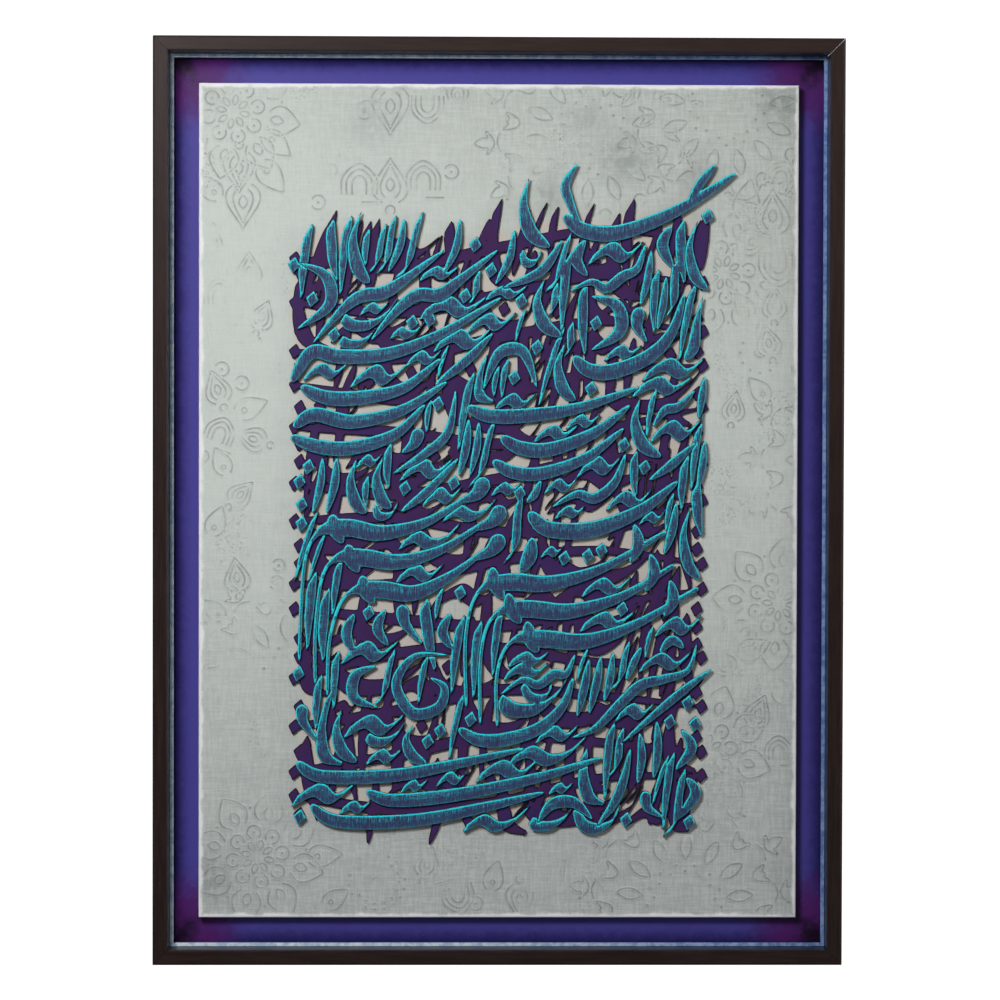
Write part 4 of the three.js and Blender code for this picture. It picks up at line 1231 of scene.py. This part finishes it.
def relief_dot(centre, base, sides=10):
    left = wear(centre[:1], centre[1:], base)[0]
    angles = 2 * math.pi * np.arange(sides) / sides
    spots = [centre[None, :]]
    heights, dirt_and_shade = [DOT_SECTION[0][1]], [DOT_SECTION[0][2]]
    for radius, height, share in DOT_SECTION[1:]:
        spots.append(centre + radius * np.stack([np.cos(angles), np.sin(angles)], 1))
        heights += [height] * sides
        dirt_and_shade += [share] * sides
    spots = np.concatenate(spots)
    points, dirt_and_shade = relief_sheet(spots, np.array(heights), np.array(dirt_and_shade), np.full(len(spots), left))
    here = np.arange(sides)
    following = (here + 1) % sides
    triangles = np.stack([np.zeros(sides, int), 1 + here, 1 + following], 1)
    quads = [
        np.stack([1 + k * sides + here, 1 + (k + 1) * sides + here, 1 + (k + 1) * sides + following,
                  1 + k * sides + following], 1)
        for k in range(len(DOT_SECTION) - 2)
    ]
    return points, dirt_and_shade, triangles, np.concatenate(quads), left > 0.04


def stencil_relief():
    """Every motif's lines and dots that still show, as one low relief on the board."""
    points, dirt_and_shade, triangles, quads = [], [], [], []
    count = 0
    limit = np.array([BOARD_HIGH.x, BOARD_HIGH.z]) + 4
    for (lines, dots), centre, turn, base in MOTIFS:
        middle = np.asarray(centre, float)
        for line in lines:
            line = (turned(line, turn) + middle) * GRID
            if (np.abs(line) > limit).any(1).all():
                continue
            spots, share, faces = relief_line(line, base)
            points.append(spots)
            dirt_and_shade.append(share)
            quads.append(faces + count)
            count += len(spots)
        for dot in dots:
            spot = (turned([dot], turn)[0] + middle) * GRID
            if (np.abs(spot) > limit - 9).any():
                continue
            spots, share, fans, faces, shown = relief_dot(spot, base)
            if shown:
                points.append(spots)
                dirt_and_shade.append(share)
                triangles.append(fans + count)
                quads.append(faces + count)
                count += len(spots)
    points, dirt_and_shade = np.concatenate(points), np.concatenate(dirt_and_shade)
    triangles, quads = np.concatenate(triangles), np.concatenate(quads)
    used, renumbered = np.unique(np.concatenate([triangles.ravel(), quads.ravel()]), return_inverse=True)
    triangles, quads = np.split(renumbered, [triangles.size])
    points, dirt_and_shade = points[used], dirt_and_shade[used]
    return new_object("stencil_relief", points, triangles.reshape(-1, 3), quads.reshape(-1, 4),
                      sharp=2.0, wash=dirt_and_shade, smudge=smudges(points[:, 0], points[:, 2]))


def block_field(strokes, lozenges, cell, clear_of=(), gap=0.45):
    """The field of many strokes, cut back to leave a gap round the strokes that they are clear of."""
    field = Field(BLOCK_LOW, BLOCK_HIGH, cell)
    for stroke in strokes:
        field.add_stroke(stroke)
    for centre in lozenges:
        field.add_lozenge(centre)
    others = Field(BLOCK_LOW, BLOCK_HIGH, cell)
    for stroke in clear_of:
        others.add_stroke(stroke)
    field.values = np.minimum(field.values, -gap - others.values)
    measure_depths(field)
    return field


layout = lay_out_strokes()

# The strokes.
upper_material = upper_paint()
for node_name, node_strokes in UPPER_PIECES.items():
    stroke_piece = plate(node_name + "_stroke", stroke_field(node_strokes), UPPER_BACK, UPPER_FRONT, 0.8)
    dressed(stroke_piece, upper_material, "turquoise_paint", node_name)
main_strokes = [stroke for strokes in UPPER_PIECES.values() for stroke in strokes]
small_field = block_field(layout["upper"], layout["upper_lozenges"], 0.4, main_strokes)
small_piece = plate("small_strokes", small_field, LOWER_BACK, UPPER_FRONT, 0.9)
dressed(small_piece, upper_material, "turquoise_paint", "lower_fretwork")
lower_field = block_field(layout["lower"], layout["lower_lozenges"], 0.5)
lower_piece = plate("lower_strokes", lower_field, LOWER_BACK, LOWER_FRONT, 1.2, rings=(0.4, 1.1))
dressed(lower_piece, lower_paint(), "purple_paint", "lower_fretwork")

# The board with its relief.
plaster_material = plaster_paint()
dressed(plaster_board(), plaster_material, "plaster", "panel_board")
dressed(stencil_relief(), plaster_material, "plaster", "panel_board")

# The tray and the rails keep their CAD shape, with their arrises eased.
stains = {"across": frame_stain("stain_across", 30, 1.6), "upright": frame_stain("stain_upright", 1.6, 30)}
for name, material, ease in (
    ("tray", tray_paint(), 0.35),
    ("frame_rail_top", stains["across"], 0.5),
    ("frame_rail_bottom", stains["across"], 0.5),
    ("frame_rail_left", stains["upright"], 0.5),
    ("frame_rail_right", stains["upright"], 0.5),
):
    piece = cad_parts[name]
    piece.data.materials.clear()
    piece.data.materials.append(material)
    bevel = piece.modifiers.new("eased arrises", "BEVEL")
    bevel.width = ease * MM
    bevel.segments = 3
    bevel.limit_method = "ANGLE"
    bevel.harden_normals = True

# The studio: a pale floor and backdrop, a soft key from the upper left, a strip from the right.
FLOOR_HEIGHT = -1.3
BACKDROP_PLACE = 3.8
STAGE_REACH = 7.0


def stage_plane(name, corners, glow):
    mesh = bpy.data.meshes.new(name)
    mesh.from_pydata(corners, [], [(0, 1, 2, 3)])
    plane = bpy.data.objects.new(name, mesh)
    bpy.context.scene.collection.objects.link(plane)
    paint = Paint(name, 0.9, 0.1)
    paint.shader.inputs["Emission Color"].default_value = (1, 1, 1, 1)
    paint.shader.inputs["Emission Strength"].default_value = glow
    pale = paint.mix(paint.noise(900, 900, 2), (0.80, 0.80, 0.80), (0.84, 0.84, 0.84))
    plane.data.materials.append(paint.colour(pale))
    plane.visible_diffuse = False
    plane.visible_glossy = False


near_corners = [(x, -STAGE_REACH, FLOOR_HEIGHT) for x in (-STAGE_REACH, STAGE_REACH)]
far_corners = [(x, BACKDROP_PLACE, FLOOR_HEIGHT) for x in (STAGE_REACH, -STAGE_REACH)]
top_corners = [(x, BACKDROP_PLACE, STAGE_REACH) for x in (-STAGE_REACH, STAGE_REACH)]
stage_plane("floor", near_corners + far_corners, 0.7)
stage_plane("backdrop", far_corners + top_corners, 1.0)


def area_light(name, place, target, width, height, power, glossy=True, diffuse=True):
    light = bpy.data.lights.new(name, "AREA")
    light.shape = "RECTANGLE"
    light.size, light.size_y, light.energy = width, height, power
    lamp = bpy.data.objects.new(name, light)
    lamp.visible_glossy = glossy
    lamp.visible_diffuse = diffuse
    lamp.location = place
    lamp.rotation_euler = (Vector(target) - Vector(place)).to_track_quat("-Z", "Y").to_euler()
    bpy.context.scene.collection.objects.link(lamp)


# The key gives no gloss. A lamp further to the side gives that alone.
area_light("key", (-0.62, -1.65, 0.72), (0, 0, 0.02), 0.45, 0.45, 23.3, glossy=False)
area_light("sheen", (-0.85, -1.3, 1.0), (0, 0, 0.02), 0.45, 0.45, 20, diffuse=False)
area_light("fill", (0.4, -2.8, 0.2), (0, 0, 0), 2.2, 1.6, 4, glossy=False)
area_light("strip", (1.9, -0.7, 0.3), (0.0, 0, 0), 0.3, 1.4, 8)

world = bpy.data.worlds.new("studio")
world.use_nodes = True
world.node_tree.nodes["Background"].inputs["Color"].default_value = (0.95, 0.97, 1, 1)
world.node_tree.nodes["Background"].inputs["Strength"].default_value = 0.08
bpy.context.scene.world = world
bpy.context.scene.view_settings.view_transform = "Standard"

# The camera, at the photograph's angle.
CAMERA_PLACE = Vector((-0.0374, -2.5255, 0.0490))
CAMERA_LENS = 108.14
YAW, PITCH, ROLL = -0.0154, -0.0189, -0.0025

camera_data = bpy.data.cameras.new("camera")
camera_data.sensor_width = 36
camera_data.lens = CAMERA_LENS
camera = bpy.data.objects.new("camera", camera_data)
aim = Matrix.Rotation(YAW, 3, "Z") @ Matrix.Rotation(PITCH, 3, "X") @ Matrix.Rotation(ROLL, 3, "Y")
camera.matrix_world = Matrix.Translation(CAMERA_PLACE) @ (aim @ Matrix.Rotation(QUARTER, 3, "X")).to_4x4()
bpy.context.scene.collection.objects.link(camera)
bpy.context.scene.camera = camera
